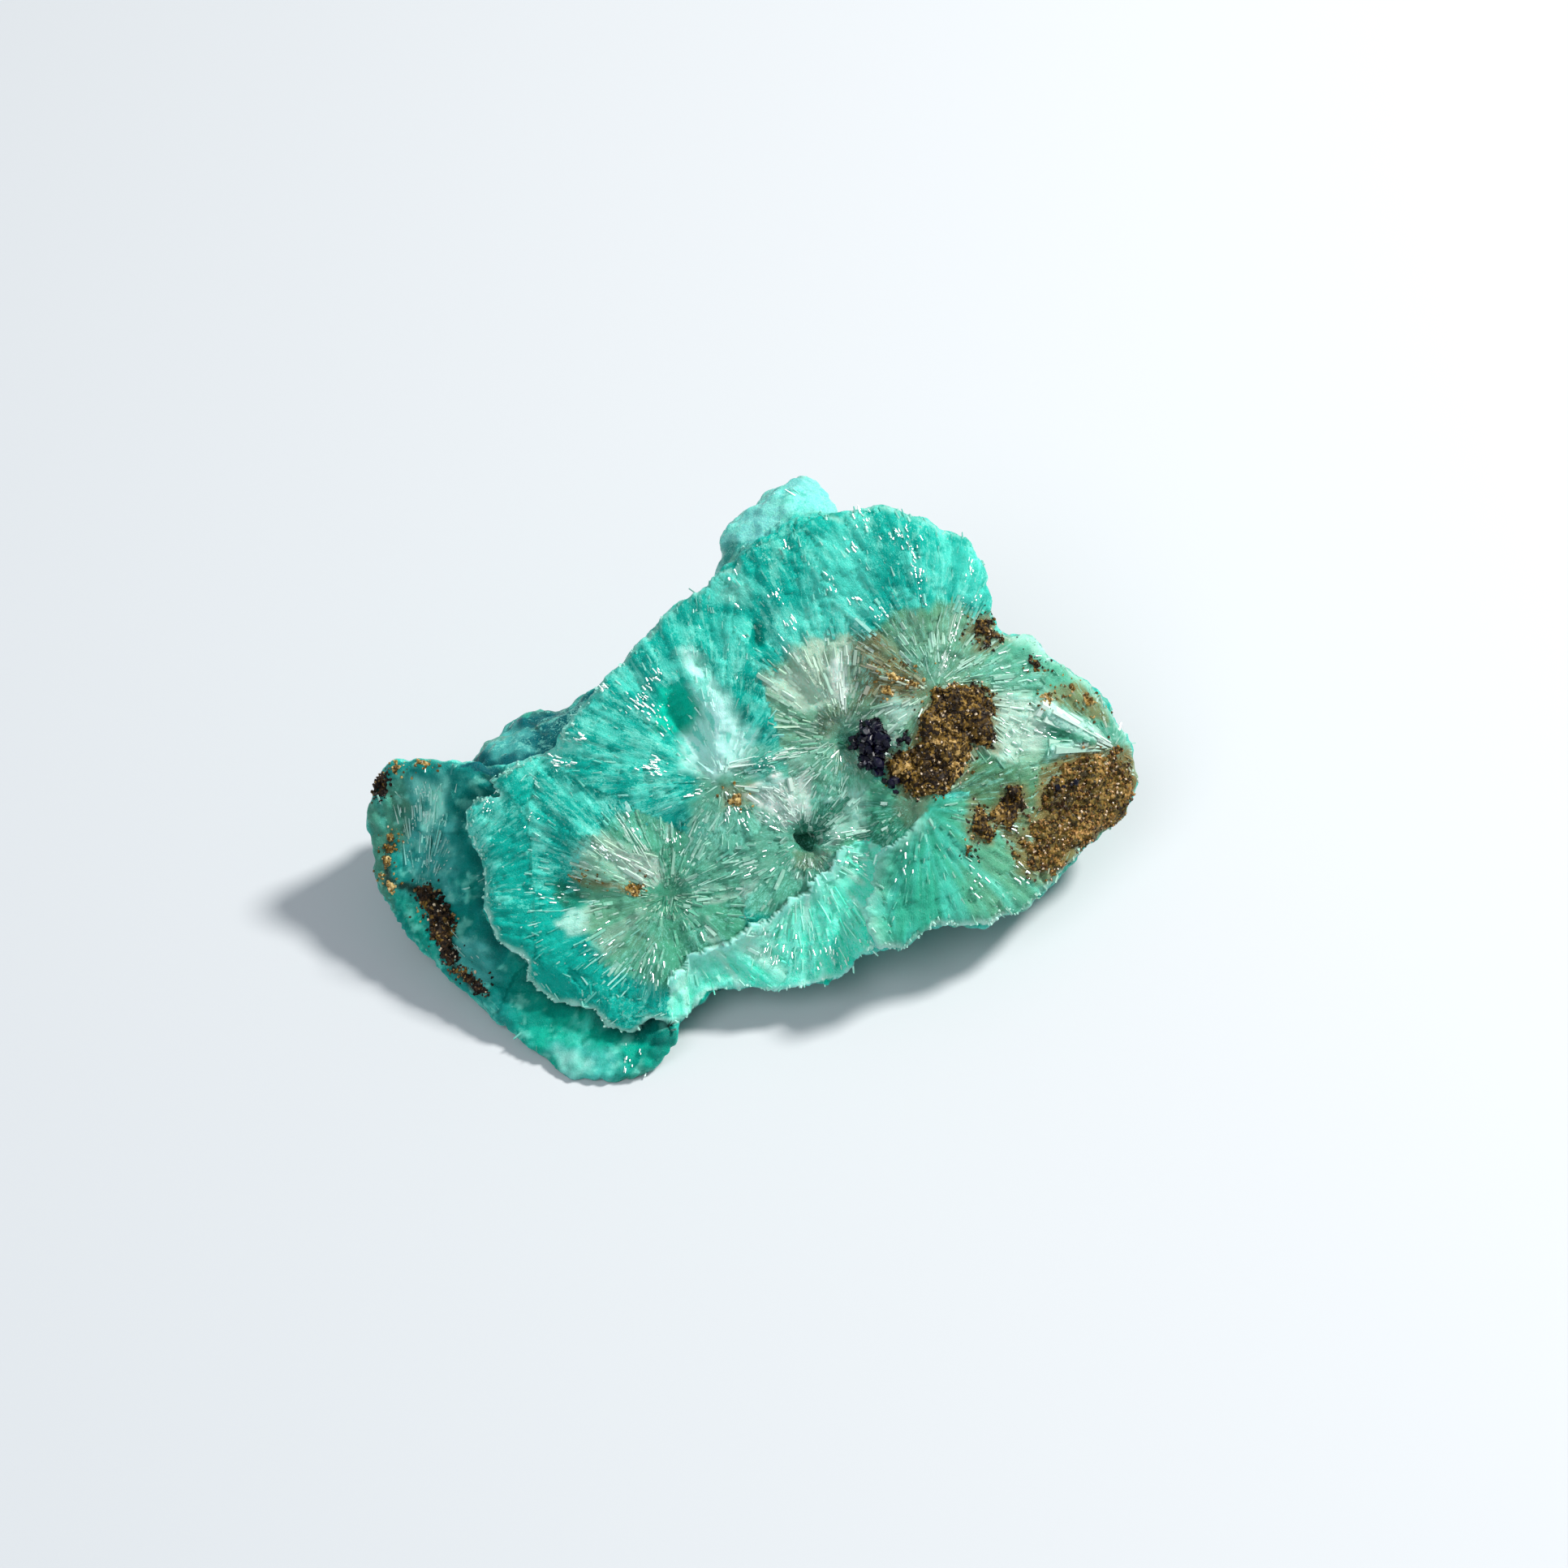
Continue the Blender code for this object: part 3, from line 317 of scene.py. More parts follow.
# Lines of thin laths: from, to, how far they spread, how wide they are, how many, colour, share.
STRANDS = [
    ((4.7, 20.9), (7.7, 24.1), 0.44, 0.50, 40, DARK_TEAL, 0.95),
    ((4.5, 21.0), (4.2, 22.8), 0.26, 0.40, 14, DARK_TEAL, 0.9),
    ((4.9, 20.8), (6.8, 21.6), 0.24, 0.40, 12, DARK_TEAL, 0.85),
    ((3.4, 21.0), (0.4, 22.2), 0.25, 0.30, 8, TEAL_GREY, 0.7),
    ((-7.3, 16.4), (-7.4, 20.2), 0.30, 0.36, 22, DARK_TEAL, 0.75),
    ((-7.2, 16.0), (-7.6, 13.4), 0.30, 0.34, 16, DARK_TEAL, 0.65),
    ((9.6, 20.2), (12.4, 23.4), 0.70, 0.40, 14, DARK_TEAL, 0.6),
    ((-2.9, 26.7), (4.6, 28.0), 0.24, 0.14, 64, WHITE, 1.0),
    ((0.2, 28.1), (6.4, 28.5), 0.20, 0.14, 36, WHITE, 0.8),
    ((6.6, 29.0), (1.0, 31.6), 0.80, 0.18, 40, SAGE_WHITE, 0.8),
    ((7.0, 30.6), (4.4, 36.6), 0.90, 0.20, 44, SAGE_WHITE, 0.8),
    ((7.6, 31.0), (7.4, 36.4), 0.30, 0.22, 26, WHITE, 0.7),
    ((7.0, 28.4), (3.2, 25.2), 0.90, 0.18, 44, WHITE, 0.6),
    ((3.0, 25.4), (6.8, 28.2), 0.60, 0.16, 30, PALE, 0.7),
    ((0.4, 25.2), (3.6, 22.2), 0.80, 0.18, 44, WHITE, 0.6),
    ((7.0, 24.6), (7.8, 27.6), 0.90, 0.16, 26, PALE, 0.6),
    ((6.2, 20.7), (9.6, 21.2), 0.40, 0.16, 26, WHITE, 0.75),
    ((7.0, 19.6), (10.0, 18.2), 0.70, 0.16, 26, PALE, 0.75),
    ((15.7, 35.0), (17.3, 39.8), 0.20, 0.16, 34, WHITE, 0.7),
    ((15.4, 35.0), (14.9, 40.0), 0.60, 0.18, 26, PALE, 0.5),
    ((14.4, 35.0), (11.6, 38.6), 0.50, 0.18, 18, PALE, 0.4),
    ((16.6, 34.6), (21.4, 36.6), 0.50, 0.18, 24, PALE, 0.6),
    ((17.0, 33.8), (22.0, 34.0), 0.40, 0.18, 18, PALE, 0.5),
    ((-13.4, 20.4), (-8.6, 17.6), 0.70, 0.22, 40, SAGE_WHITE, 0.6),
    ((-11.4, 22.8), (-8.6, 18.6), 0.35, 0.16, 30, WHITE, 0.7),
    ((-6.6, 17.0), (-2.4, 23.2), 0.80, 0.18, 40, PALE, 0.5),
    ((-5.6, 16.4), (1.0, 19.2), 0.90, 0.18, 40, PALE, 0.45),
    ((-9.0, 14.0), (-14.4, 10.4), 0.90, 0.18, 34, MIST, 0.45),
    ((-9.0, 11.6), (-14.2, 6.8), 0.60, 0.20, 34, MIST, 0.7),
    ((-8.4, 11.0), (-10.4, 6.2), 0.60, 0.18, 20, MIST, 0.5),
    ((-13.0, 15.4), (-19.4, 13.6), 0.70, 0.18, 20, MIST, 0.4),
    ((3.6, 17.0), (5.4, 10.0), 1.60, 0.16, 60, PALE, 0.6),
    ((1.0, 14.0), (-0.4, 9.4), 1.10, 0.16, 34, PALE, 0.6),
    ((-28.4, 16.6), (-27.6, 24.6), 0.70, 0.16, 60, CLOUD, 0.24),
    ((-28.0, 16.8), (-26.2, 21.6), 0.60, 0.16, 44, CLOUD, 0.20),
    ((-29.0, 17.4), (-30.0, 24.0), 0.50, 0.16, 36, CLOUD, 0.2),
    ((-28.0, 21.6), (-27.4, 25.6), 0.90, 0.18, 44, PALE, 0.55),
    ((-27.6, 18.0), (-26.0, 23.4), 0.50, 0.16, 24, MIST, 0.35),
    ((-26.6, 13.6), (-23.6, 9.6), 0.50, 0.16, 20, CLOUD, 0.5),
]

# Centres with short strands all round: u, v, inner and outer reach, how many, colours.
ROSETTES = [
    (-7.2, 15.9, 0.2, 3.4, 60, SAGE_WHITE, OLIVE_TEAL),
    (4.3, 20.5, 0.9, 3.6, 60, PALE, DARK_TEAL),
    (7.4, 29.4, 0.6, 4.0, 56, SAGE_WHITE, GREY_BROWN),
    (15.2, 33.6, 0.4, 4.0, 56, PALE, OLIVE_TEAL),
    (-2.6, 25.6, 0.3, 2.6, 30, PALE, TEAL_GREY),
]
# How far a strand's end may stand off the stone.
STRAND_LIFT = 0.2
SPLINTERS = 1300
PLATES = 1200
TEETH = 300
# How far along a plate or strand its colour is taken from the stone.
COLOUR_FROM = 0.6
# The corners of a lath's six sides.
LATH_QUADS = [(0, 1, 2, 3), (7, 6, 5, 4), (0, 4, 5, 1), (1, 5, 6, 2), (2, 6, 7, 3), (3, 7, 4, 0)]

FIBRES_AROUND = 25.0
SHARD_LENGTH = 2.6
SHARD_WIDTH = 0.55
SHARD_HEIGHT = 0.20
BIG_SHARD_HEIGHT = 0.17
RAY_START = 20.0
SEED = 11
HASH_FACTOR = np.uint64(0x9E3779B97F4A7C15)

# The camera's lens and sensor, in millimetres. It stands CAMERA_NEARER millimetres nearer than
# the face's plane asks for, so that the stone has its size in the photo.
CAMERA_LENS = 100
CAMERA_SENSOR = 36
CAMERA_NEARER = 3
# The setting, in metres.
KEY_PLACE = (0.42, 0.20, 0.52)
# Soft lights: name, place, width, power in watts, and colour.
LIGHTS = [
    ("key", KEY_PLACE, 0.14, 6.6, (1.0, 0.98, 0.94)),
    ("fill", (-0.25, -0.35, 0.60), 0.5, 2.0, (0.94, 0.97, 1.0)),
]
LIGHTS_AIM = Vector((0, 0, 0.01))
FLOOR_HALF = 3.0
FLOOR_COLOUR = (0.556, 0.582, 0.610)
SKY_COLOUR = (0.85, 0.92, 1.0)
SKY_STRENGTH = 0.32

# Crusts that follow the stone: name, node, look, outline, thickness, and how closed they are.
CRUSTS = [
    ("crust_centre", "brown_crust_centre", "brown", [
        (11.1, 25.7), (11.2, 27.6), (13.0, 28.4), (13.4, 30.2), (13.7, 31.0), (14.4, 32.0),
        (15.0, 33.0), (16.6, 33.7), (18.0, 33.9), (19.6, 33.4), (20.5, 32.4), (20.5, 30.8),
        (20.4, 28.4), (18.5, 28.5), (18.2, 27.0), (17.6, 26.0), (16.6, 25.0), (16.0, 24.4),
        (13.8, 24.1), (12.8, 24.8), (12.3, 25.4),
    ], 0.75, 1.0),
    ("crust_upper", "brown_crust_centre", "golden", [
        (10.1, 33.2), (10.5, 34.5), (11.5, 35.8), (12.7, 35.0), (14.0, 34.5), (14.5, 33.3),
        (13.2, 32.6), (12.2, 33.1), (11.2, 32.5),
    ], 0.25, 0.5),
    ("crust_tip", "brown_crust_tip", "amber", [
        (24.6, 25.8), (26.0, 27.4), (28.2, 28.4), (30.4, 28.6), (32.6, 28.2), (33.4, 26.0),
        (33.3, 23.8), (32.0, 21.6), (29.4, 20.0), (26.6, 17.8), (24.2, 17.0), (22.6, 18.0),
        (21.7, 20.2), (23.2, 21.7), (23.8, 23.8),
    ], 0.34, 0.35),
    ("crust_drop", "brown_crust_tip", "brown", [
        (18.5, 24.0), (19.4, 23.0), (20.2, 21.8), (20.0, 20.5), (18.5, 20.4), (18.1, 21.9),
    ], 0.75, 1.05),
    ("crust_patch", "brown_crust_tip", "brown", [
        (20.0, 22.9), (21.1, 23.8), (21.4, 25.1), (22.6, 25.1), (22.9, 23.6), (22.0, 21.3),
        (20.6, 21.4),
    ], 0.75, 1.05),
    ("crust_bit", "brown_crust_tip", "brown", [
        (17.7, 20.4), (18.9, 20.3), (18.8, 19.2), (17.7, 19.2),
    ], 0.35, 0.8),
    ("crust_rim", "brown_crust_tip", "golden", [
        (26.2, 33.4), (27.2, 34.2), (28.9, 33.4), (30.1, 31.6), (29.0, 31.0), (27.8, 32.4),
        (26.4, 32.4),
    ], 0.3, 0.55),
    ("crust_blade", "brown_crust_tip", "golden", [
        (23.8, 32.2), (24.4, 33.2), (25.6, 33.6), (25.4, 32.8), (24.6, 31.9),
    ], 0.3, 0.8),
    ("crust_notch", "brown_crust_centre", "brown", [
        (17.7, 38.0), (18.3, 39.3), (19.8, 39.6), (20.9, 38.8), (21.5, 37.6), (20.2, 36.9),
        (18.7, 37.1),
    ], 0.4, 0.6),
    ("crust_speck", "brown_crust_centre", "golden", [
        (-2.4, 24.6), (-1.5, 25.4), (-0.6, 24.9), (-0.4, 23.8), (-1.4, 23.2), (-2.3, 23.7),
    ], 0.25, 0.6),
    ("crust_orange", "brown_crust_centre", "golden", [
        (-10.8, 16.9), (-9.9, 17.5), (-9.2, 16.6), (-9.8, 15.4), (-10.4, 15.7),
    ], 0.2, 0.7),
    ("crust_line", "brown_crust_centre", "golden", [
        (-15.4, 17.7), (-14.4, 18.0), (-12.6, 17.5), (-12.6, 17.1), (-14.4, 17.2),
    ], 0.15, 0.6),
    ("crust_dot", "brown_crust_tip", "brown", [
        (23.2, 36.2), (24.5, 36.0), (24.6, 34.9), (23.4, 35.0),
    ], 0.3, 0.9),
    ("crust_corner", "brown_crust_seam", "dark", [
        (-33.2, 24.2), (-32.4, 26.0), (-31.3, 26.8), (-31.1, 25.6), (-31.5, 24.2), (-32.4, 23.6),
    ], 0.4, 0.9),
    ("crust_edge", "brown_crust_seam", "golden", [
        (-31.6, 26.5), (-30.8, 27.3), (-28.4, 27.6), (-26.4, 27.5), (-26.8, 26.8), (-29.0, 26.7),
        (-30.6, 26.1),
    ], 0.35, 0.8),
    ("crystal_bed", "blue_crystals", "indigo", [
        (8.6, 27.4), (8.4, 29.2), (9.0, 30.6), (10.6, 30.8), (11.3, 29.6), (11.4, 28.2),
        (11.0, 26.6), (10.5, 25.9), (9.5, 26.3),
    ], 0.6, 1.0),
    ("crust_seam_upper", "brown_crust_seam", "golden", [
        (-31.8, 21.4), (-30.4, 21.3), (-30.6, 19.4), (-31.0, 18.0), (-30.2, 16.4), (-31.2, 16.0),
        (-32.0, 18.0), (-32.0, 20.0),
    ], 0.3, 0.7),
    ("crust_seam", "brown_crust_seam", "dark", [
        (-29.0, 16.6), (-27.6, 16.7), (-26.0, 15.0), (-25.6, 14.0), (-25.4, 11.4), (-24.9, 10.0),
        (-23.0, 8.5), (-22.4, 7.6), (-23.8, 7.6), (-25.6, 9.3), (-26.8, 11.2), (-27.8, 13.2),
        (-28.4, 15.0),
    ], 0.5, 1.0),
]
# Crusts with a stain round them.
STAINED = ("crust_centre", "crust_upper", "crust_tip", "crust_patch", "crust_drop", "crust_notch")
CRUST_GRID = 0.11
# How far in depth a crust may lie from its middle, before it is another ledge of the stone.
CRUST_LEVEL = 2.2
GRAIN_SIZES = (0.10, 0.34)
# Grains for each point of a crust's grid.
GRAIN_SHARE = 0.24

# Clusters of shining splinters: u, v, spread along the fibres and across them, and how many.
GLINTS = [
    (13.6, 43.4, 2.0, 0.45, 34), (9.4, 47.2, 1.2, 0.5, 16), (12.2, 46.2, 0.9, 0.8, 16),
    (18.1, 43.2, 1.6, 0.3, 12), (18.6, 41.0, 0.8, 0.3, 6), (16.9, 38.2, 1.6, 0.35, 18),
    (16.2, 35.8, 1.0, 0.4, 12), (10.6, 39.6, 1.2, 0.5, 10), (8.4, 40.6, 0.5, 0.4, 6),
    (6.4, 41.4, 0.6, 0.5, 8), (8.5, 44.9, 0.4, 0.4, 7), (2.6, 45.0, 0.4, 0.3, 4),
    (3.4, 38.6, 1.0, 0.4, 9), (2.0, 41.2, 0.8, 0.6, 8), (-8.4, 26.8, 0.9, 0.8, 30),
    (-8.8, 31.6, 1.7, 1.0, 46), (-8.2, 34.2, 0.5, 0.9, 12), (-12.4, 33.2, 0.5, 0.3, 6),
    (-14.4, 29.2, 0.5, 0.3, 8), (-16.0, 27.0, 0.9, 0.4, 16), (-22.4, 23.6, 0.8, 0.5, 12),
    (-19.0, 22.0, 0.7, 0.4, 6), (-12.6, 19.6, 1.1, 0.5, 26), (-10.2, 21.6, 1.2, 0.4, 10),
    (-4.9, 24.6, 0.7, 0.3, 6), (-2.4, 23.4, 0.6, 0.3, 6), (1.0, 27.0, 2.6, 0.4, 12),
    (-1.0, 22.6, 1.8, 0.5, 12), (2.0, 22.6, 1.6, 0.8, 12), (7.6, 21.0, 1.4, 0.5, 12),
    (8.6, 19.0, 1.2, 0.7, 14), (2.0, 11.6, 1.8, 1.6, 26), (6.5, 11.0, 1.8, 1.2, 20),
    (-8.6, 10.6, 1.6, 1.2, 14), (-13.0, 12.4, 1.8, 1.2, 14), (-17.0, 16.0, 1.6, 1.0, 10),
    (-7.0, 20.4, 1.2, 1.0, 12), (13.0, 19.0, 1.4, 0.8, 8), (18.0, 18.0, 2.0, 1.4, 10),
    (22.8, 17.4, 1.2, 1.0, 10), (21.6, 21.0, 1.0, 0.8, 8), (21.0, 29.6, 1.4, 1.4, 14),
    (24.6, 29.6, 1.4, 0.6, 12), (22.4, 34.8, 1.4, 1.0, 10), (-10.4, 2.2, 2.0, 1.0, 12),
    (-28.0, 25.2, 1.4, 0.8, 10), (-29.6, 22.0, 1.2, 0.8, 6), (-26.0, 18.4, 1.4, 1.0, 6),
    (0.5, 18.4, 1.6, 0.8, 10), (4.6, 18.6, 0.7, 0.5, 8), (10.8, 28.6, 0.8, 1.0, 12),
]
# Glassy blades on the wing: from, to, width, height and share of white.
BLADES = [
    ((24.1, 31.7), (30.6, 28.6), 1.5, 0.42, 0.75), ((24.6, 32.2), (30.4, 28.8), 0.7, 0.5, 0.9),
    ((24.6, 30.9), (30.2, 28.4), 0.8, 0.34, 0.55), ((25.2, 31.5), (29.8, 29.0), 0.4, 0.52, 0.6),
    ((25.0, 28.8), (30.0, 28.4), 0.9, 0.30, 0.4), ((25.6, 28.2), (29.6, 28.2), 0.8, 0.26, 0.3),
]
# Clusters of dark blue crystals: u, v and radius. Those over 0.4 have more crystals in them.
CRYSTALS = [
    (9.4, 29.9, 0.6), (10.2, 29.8, 0.6), (8.9, 29.0, 0.55), (9.6, 29.1, 0.7), (10.4, 29.0, 0.75),
    (8.9, 28.3, 0.6), (9.5, 28.2, 0.6), (10.6, 28.3, 0.5), (9.3, 27.5, 0.5), (9.9, 27.4, 0.6),
    (10.6, 27.5, 0.5), (9.9, 26.7, 0.45), (10.4, 26.4, 0.5), (9.1, 30.4, 0.35), (10.9, 30.0, 0.3),
    (12.6, 28.9, 0.42), (12.3, 29.1, 0.3), (11.3, 25.3, 0.5), (11.7, 25.5, 0.3), (11.9, 24.7, 0.3),
    (25.5, 25.0, 0.38), (27.1, 25.2, 0.36), (27.5, 25.5, 0.26),
]


def linear(colour):
    """A linear colour from one given in sRGB bytes."""
    parts = [c / 255 for c in colour]
    return np.array([c / 12.92 if c <= 0.04045 else ((c + 0.055) / 1.055) ** 2.4 for c in parts])


def opaque(colour):
    """A shader's colour from one given in sRGB bytes."""
    return (*linear(colour), 1)


def mixed(first, second, share):
    """Colours from first, where share is 0, to second, where it is 1."""
    share = np.reshape(share, (-1, 1))
    return first * (1 - share) + second * share


def from_face(points):
    """Face millimetres to world metres."""
    u, v, w = np.asarray(points, dtype=float).T
    y = v * CLIMB_COS - w * CLIMB_SIN + FACE_FOOT[1]
    return np.column_stack((u + FACE_FOOT[0], y, v * CLIMB_SIN + w * CLIMB_COS)) * MM


def face_directions(vectors):
    """World directions as directions of the face's frame."""
    x, y, z = np.asarray(vectors, dtype=float).T
    return np.column_stack((x, y * CLIMB_COS + z * CLIMB_SIN, z * CLIMB_COS - y * CLIMB_SIN))


def to_face(points):
    """World metres to face millimetres."""
    return face_directions(np.asarray(points, dtype=float) / MM - (*FACE_FOOT, 0))


def unit(vectors):
    """Each vector at length 1."""
    return vectors / np.maximum(np.linalg.norm(vectors, axis=-1, keepdims=True), 1e-9)


def perpendicular(vectors, axes):
    """The unit part of each vector that is square to its axis."""
    return unit(vectors - axes * (vectors * axes).sum(axis=1)[:, None])


def smooth_step(low, high, value):
    """0 below low, 1 above high, and a smooth rise between them."""
    t = np.clip((value - low) / (high - low), 0, 1)
    return t * t * (3 - 2 * t)


def inside(outline, u, v):
    """Whether each point lies within a closed outline."""
    within = np.zeros(len(u), dtype=bool)
    for (u0, v0), (u1, v1) in zip(outline, outline[1:] + outline[:1]):
        crosses = (v0 > v) != (v1 > v)
        rise = v1 - v0 if v1 != v0 else 1e-9
        within ^= crosses & (u < (u1 - u0) * (v - v0) / rise + u0)
    return within


def distance_to_line(line, u, v):
    """How far each point is from a line of straight stretches."""
    nearest = np.full(len(u), np.inf)
    for (u0, v0), (u1, v1) in zip(line, line[1:]):
        du, dv = u1 - u0, v1 - v0
        along = np.clip(((u - u0) * du + (v - v0) * dv) / (du * du + dv * dv), 0, 1)
        nearest = np.minimum(nearest, np.hypot(u - u0 - along * du, v - v0 - along * dv))
    return nearest


def depth_within(outline, u, v):
    """How far each point lies within a closed outline, negative outside it."""
    edge = distance_to_line(outline + outline[:1], u, v)
    return np.where(inside(outline, u, v), edge, -edge)


def patch(u, v, place, size, warp=0.0):
    """1 in the middle of an oval patch, 0 outside it, with edges moved by warp."""
    distance = np.hypot((u - place[0]) / size[0], (v - place[1]) / size[1])
    return 1 - smooth_step(0.55, 1.15, distance + warp)


def rough(points, size, seed):
    """Smooth noise in -1 to 1 whose features are about size millimetres wide."""
    scaled = np.asarray(points) / size + np.array((13.1, 7.7, 3.3)) * seed
    return np.array([noise.noise(p) for p in scaled.tolist()])


def knobs(points, size):
    """Rounded knobs about size millimetres wide: 1 on their tops, 0 between them."""
    nearest = np.array([noise.voronoi(p)[0][0] for p in (np.asarray(points) / size).tolist()])
    return 1 - np.clip(nearest, 0, 1) ** 2


def hashed(*parts):
    """Even values in 0 to 1, the same for the same whole numbers."""
    mixed_up = np.zeros(len(np.atleast_1d(parts[0])), dtype=np.uint64)
    for part in parts:
        mixed_up ^= np.asarray(part).astype(np.int64).view(np.uint64)
        mixed_up *= HASH_FACTOR
        mixed_up ^= mixed_up >> np.uint64(29)
    return (mixed_up >> np.uint64(40)).astype(float) / 2**24


def read_vertices(mesh, name):
    """The places ("co") or normals ("normal") of a mesh's vertices."""
    values = np.empty(len(mesh.vertices) * 3)
    mesh.vertices.foreach_get(name, values)
    return values.reshape(-1, 3)


def move_vertices(mesh, points):
    """Put a mesh's vertices at new places."""
    mesh.vertices.foreach_set("co", np.ascontiguousarray(points).ravel())
    mesh.update()


def store(mesh, name, kind, values):
    """Keep a value for each vertex, for the material to read."""
    attribute = mesh.attributes.new(name, kind, "POINT")
    field = {"FLOAT": "value", "FLOAT_VECTOR": "vector", "FLOAT_COLOR": "color"}[kind]
    attribute.data.foreach_set(field, np.ascontiguousarray(values, dtype=np.float32).ravel())


def store_tint(mesh, colours):
    """Keep a linear colour for each vertex."""
    store(mesh, "tint", "FLOAT_COLOR", np.column_stack((colours, np.ones(len(colours)))))


def new_mesh(name, points, faces):
    """A mesh from face millimetres."""
    mesh = bpy.data.meshes.new(name)
    mesh.from_pydata(from_face(points).tolist(), [], faces)
    return mesh


def place_piece(mesh, name, node, material, smooth=False):
    """Make a piece that rides on the body and, if a node is named, stands for it."""
    mesh.materials.clear()
    mesh.materials.append(material)
    mesh.polygons.foreach_set("use_smooth", [smooth] * len(mesh.polygons))
    mesh.polygons.foreach_set("material_index", [0] * len(mesh.polygons))
    piece = bpy.data.objects.new(name, mesh)
    bpy.context.collection.objects.link(piece)
    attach(piece, "root")
    if node:
        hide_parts(node)


# The stone: its mesh, its relief and its colours.


def remeshed(mesh):
    """The mesh made anew from even voxels."""
    holder = bpy.data.objects.new("holder", mesh)
    bpy.context.collection.objects.link(holder)
    remesh = holder.modifiers.new("remesh", "REMESH")
    remesh.mode = "VOXEL"
    remesh.voxel_size = STONE_VOXEL * MM
    graph = bpy.context.evaluated_depsgraph_get()
    result = bpy.data.meshes.new_from_object(holder.evaluated_get(graph))
    bpy.data.objects.remove(holder)
    return result


def soften(mesh, rounds):
    """Move each point half way to the mean of its neighbours, round after round."""
    points = read_vertices(mesh, "co")
    ends = np.empty(len(mesh.edges) * 2, dtype=int)
    mesh.edges.foreach_get("vertices", ends)
    first, second = ends.reshape(-1, 2).T
    count = np.bincount(first, minlength=len(points)) + np.bincount(second, minlength=len(points))
    for _ in range(rounds):
        total = np.zeros_like(points)
        np.add.at(total, first, points[second])
        np.add.at(total, second, points[first])
        points = 0.5 * points + 0.5 * total / count[:, None]
    move_vertices(mesh, points)


def split_front(mesh):
    """Split each face that looks out of the broad face into four."""
    solid = bmesh.new()
    solid.from_mesh(mesh)
    edges = set()
    for face in solid.faces:
        if face.normal.dot(OUT_OF_FACE) > 0:
            edges.update(face.edges)
    bmesh.ops.subdivide_edges(solid, edges=list(edges), cuts=1, use_grid_fill=True)
    bmesh.ops.triangulate(solid, faces=[face for face in solid.faces if len(face.verts) > 4])
    solid.to_mesh(mesh)
    solid.free()


def face_depth(u):
    """How deep the plane of the face lies at u, with its tip and left side bent back."""
    return -TIP_FALL * np.maximum(u - TIP_START, 0) - LEFT_FALL * np.maximum(LEFT_START - u, 0)


def fan_of(places):
    """Each place's fan, and its direction and distance from the fan's centre."""
    centres = [(u, v, float(face_depth(np.array(u)))) for u, v, _ in FANS] + HIDDEN_FANS
    warp = 1.6 * rough(places, 3.5, 5)
    away = []
    for k, centre in enumerate(centres):
        offset = places - np.array(centre)
        away.append(np.sqrt((offset**2).sum(axis=1)) + warp * math.cos(k * 2.4))
    fan = np.argmin(away, axis=0)
    offset = places - np.array(centres)[fan]
    reach = np.sqrt((offset**2).sum(axis=1))
    return fan, offset / np.maximum(reach, 0.01)[:, None], reach


class Skin:
    """The stone's points before their relief, and how they lie in the fans of fibres."""

    def __init__(self, mesh):
        self.places = to_face(read_vertices(mesh, "co"))
        self.outward = face_directions(read_vertices(mesh, "normal"))
        self.fan, self.way, self.reach = fan_of(self.places)
        u, v, w = self.places.T
        self.in_outline = inside(FACE_OUTLINE, u, v)
        self.front = smooth_step(0.1, 0.5, self.outward[:, 2])
        self.main = self.front * self.in_outline * smooth_step(-6.0, -4.5, w - face_depth(u))
        self.rim = distance_to_line(FACE_OUTLINE + FACE_OUTLINE[:1], u, v)

    def noise_along(self, around, along, seed):
        """Noise drawn out along the fibres."""
        drawn_out = (self.reach * along)[:, None] * np.array((0.31, 0.17, 0.94))
        scaled = self.way * around + drawn_out + seed * 7.3
        return np.array([noise.noise(p) for p in scaled.tolist()])

    def shards(self, length, width, seed):
        """Heights of long flat shards that lie side by side along the fibres, about -1 to 1."""
        around = 2.0 ** np.round(np.log2(np.maximum(math.tau * self.reach / width, 4)))
        turn = (np.arctan2(self.way[:, 1], self.way[:, 0]) / math.tau + 0.5) * around
        cell = np.floor(turn)
        across = turn - cell
        along = self.reach / length + hashed(cell, around, self.fan + seed)
        step = np.floor(along)
        height = hashed(cell, around, step, self.fan + seed) - 0.5
        lean = hashed(step, cell, self.fan + seed, around) - 0.5
        roof = 0.5 - np.abs(across - 0.5)
        return height + 1.2 * lean * (along - step - 0.5) + 0.8 * roof

    def scalloped(self):
        """The points' u and v moved a little, so that edges found from them come out ragged."""
        shift = 0.55 * rough(self.places, 1.5, 41) + 0.25 * rough(self.places, 0.6, 42)
        other = 0.55 * rough(self.places, 1.5, 43) + 0.25 * rough(self.places, 0.6, 44)
        return self.places[:, 0] + shift, self.places[:, 1] + other


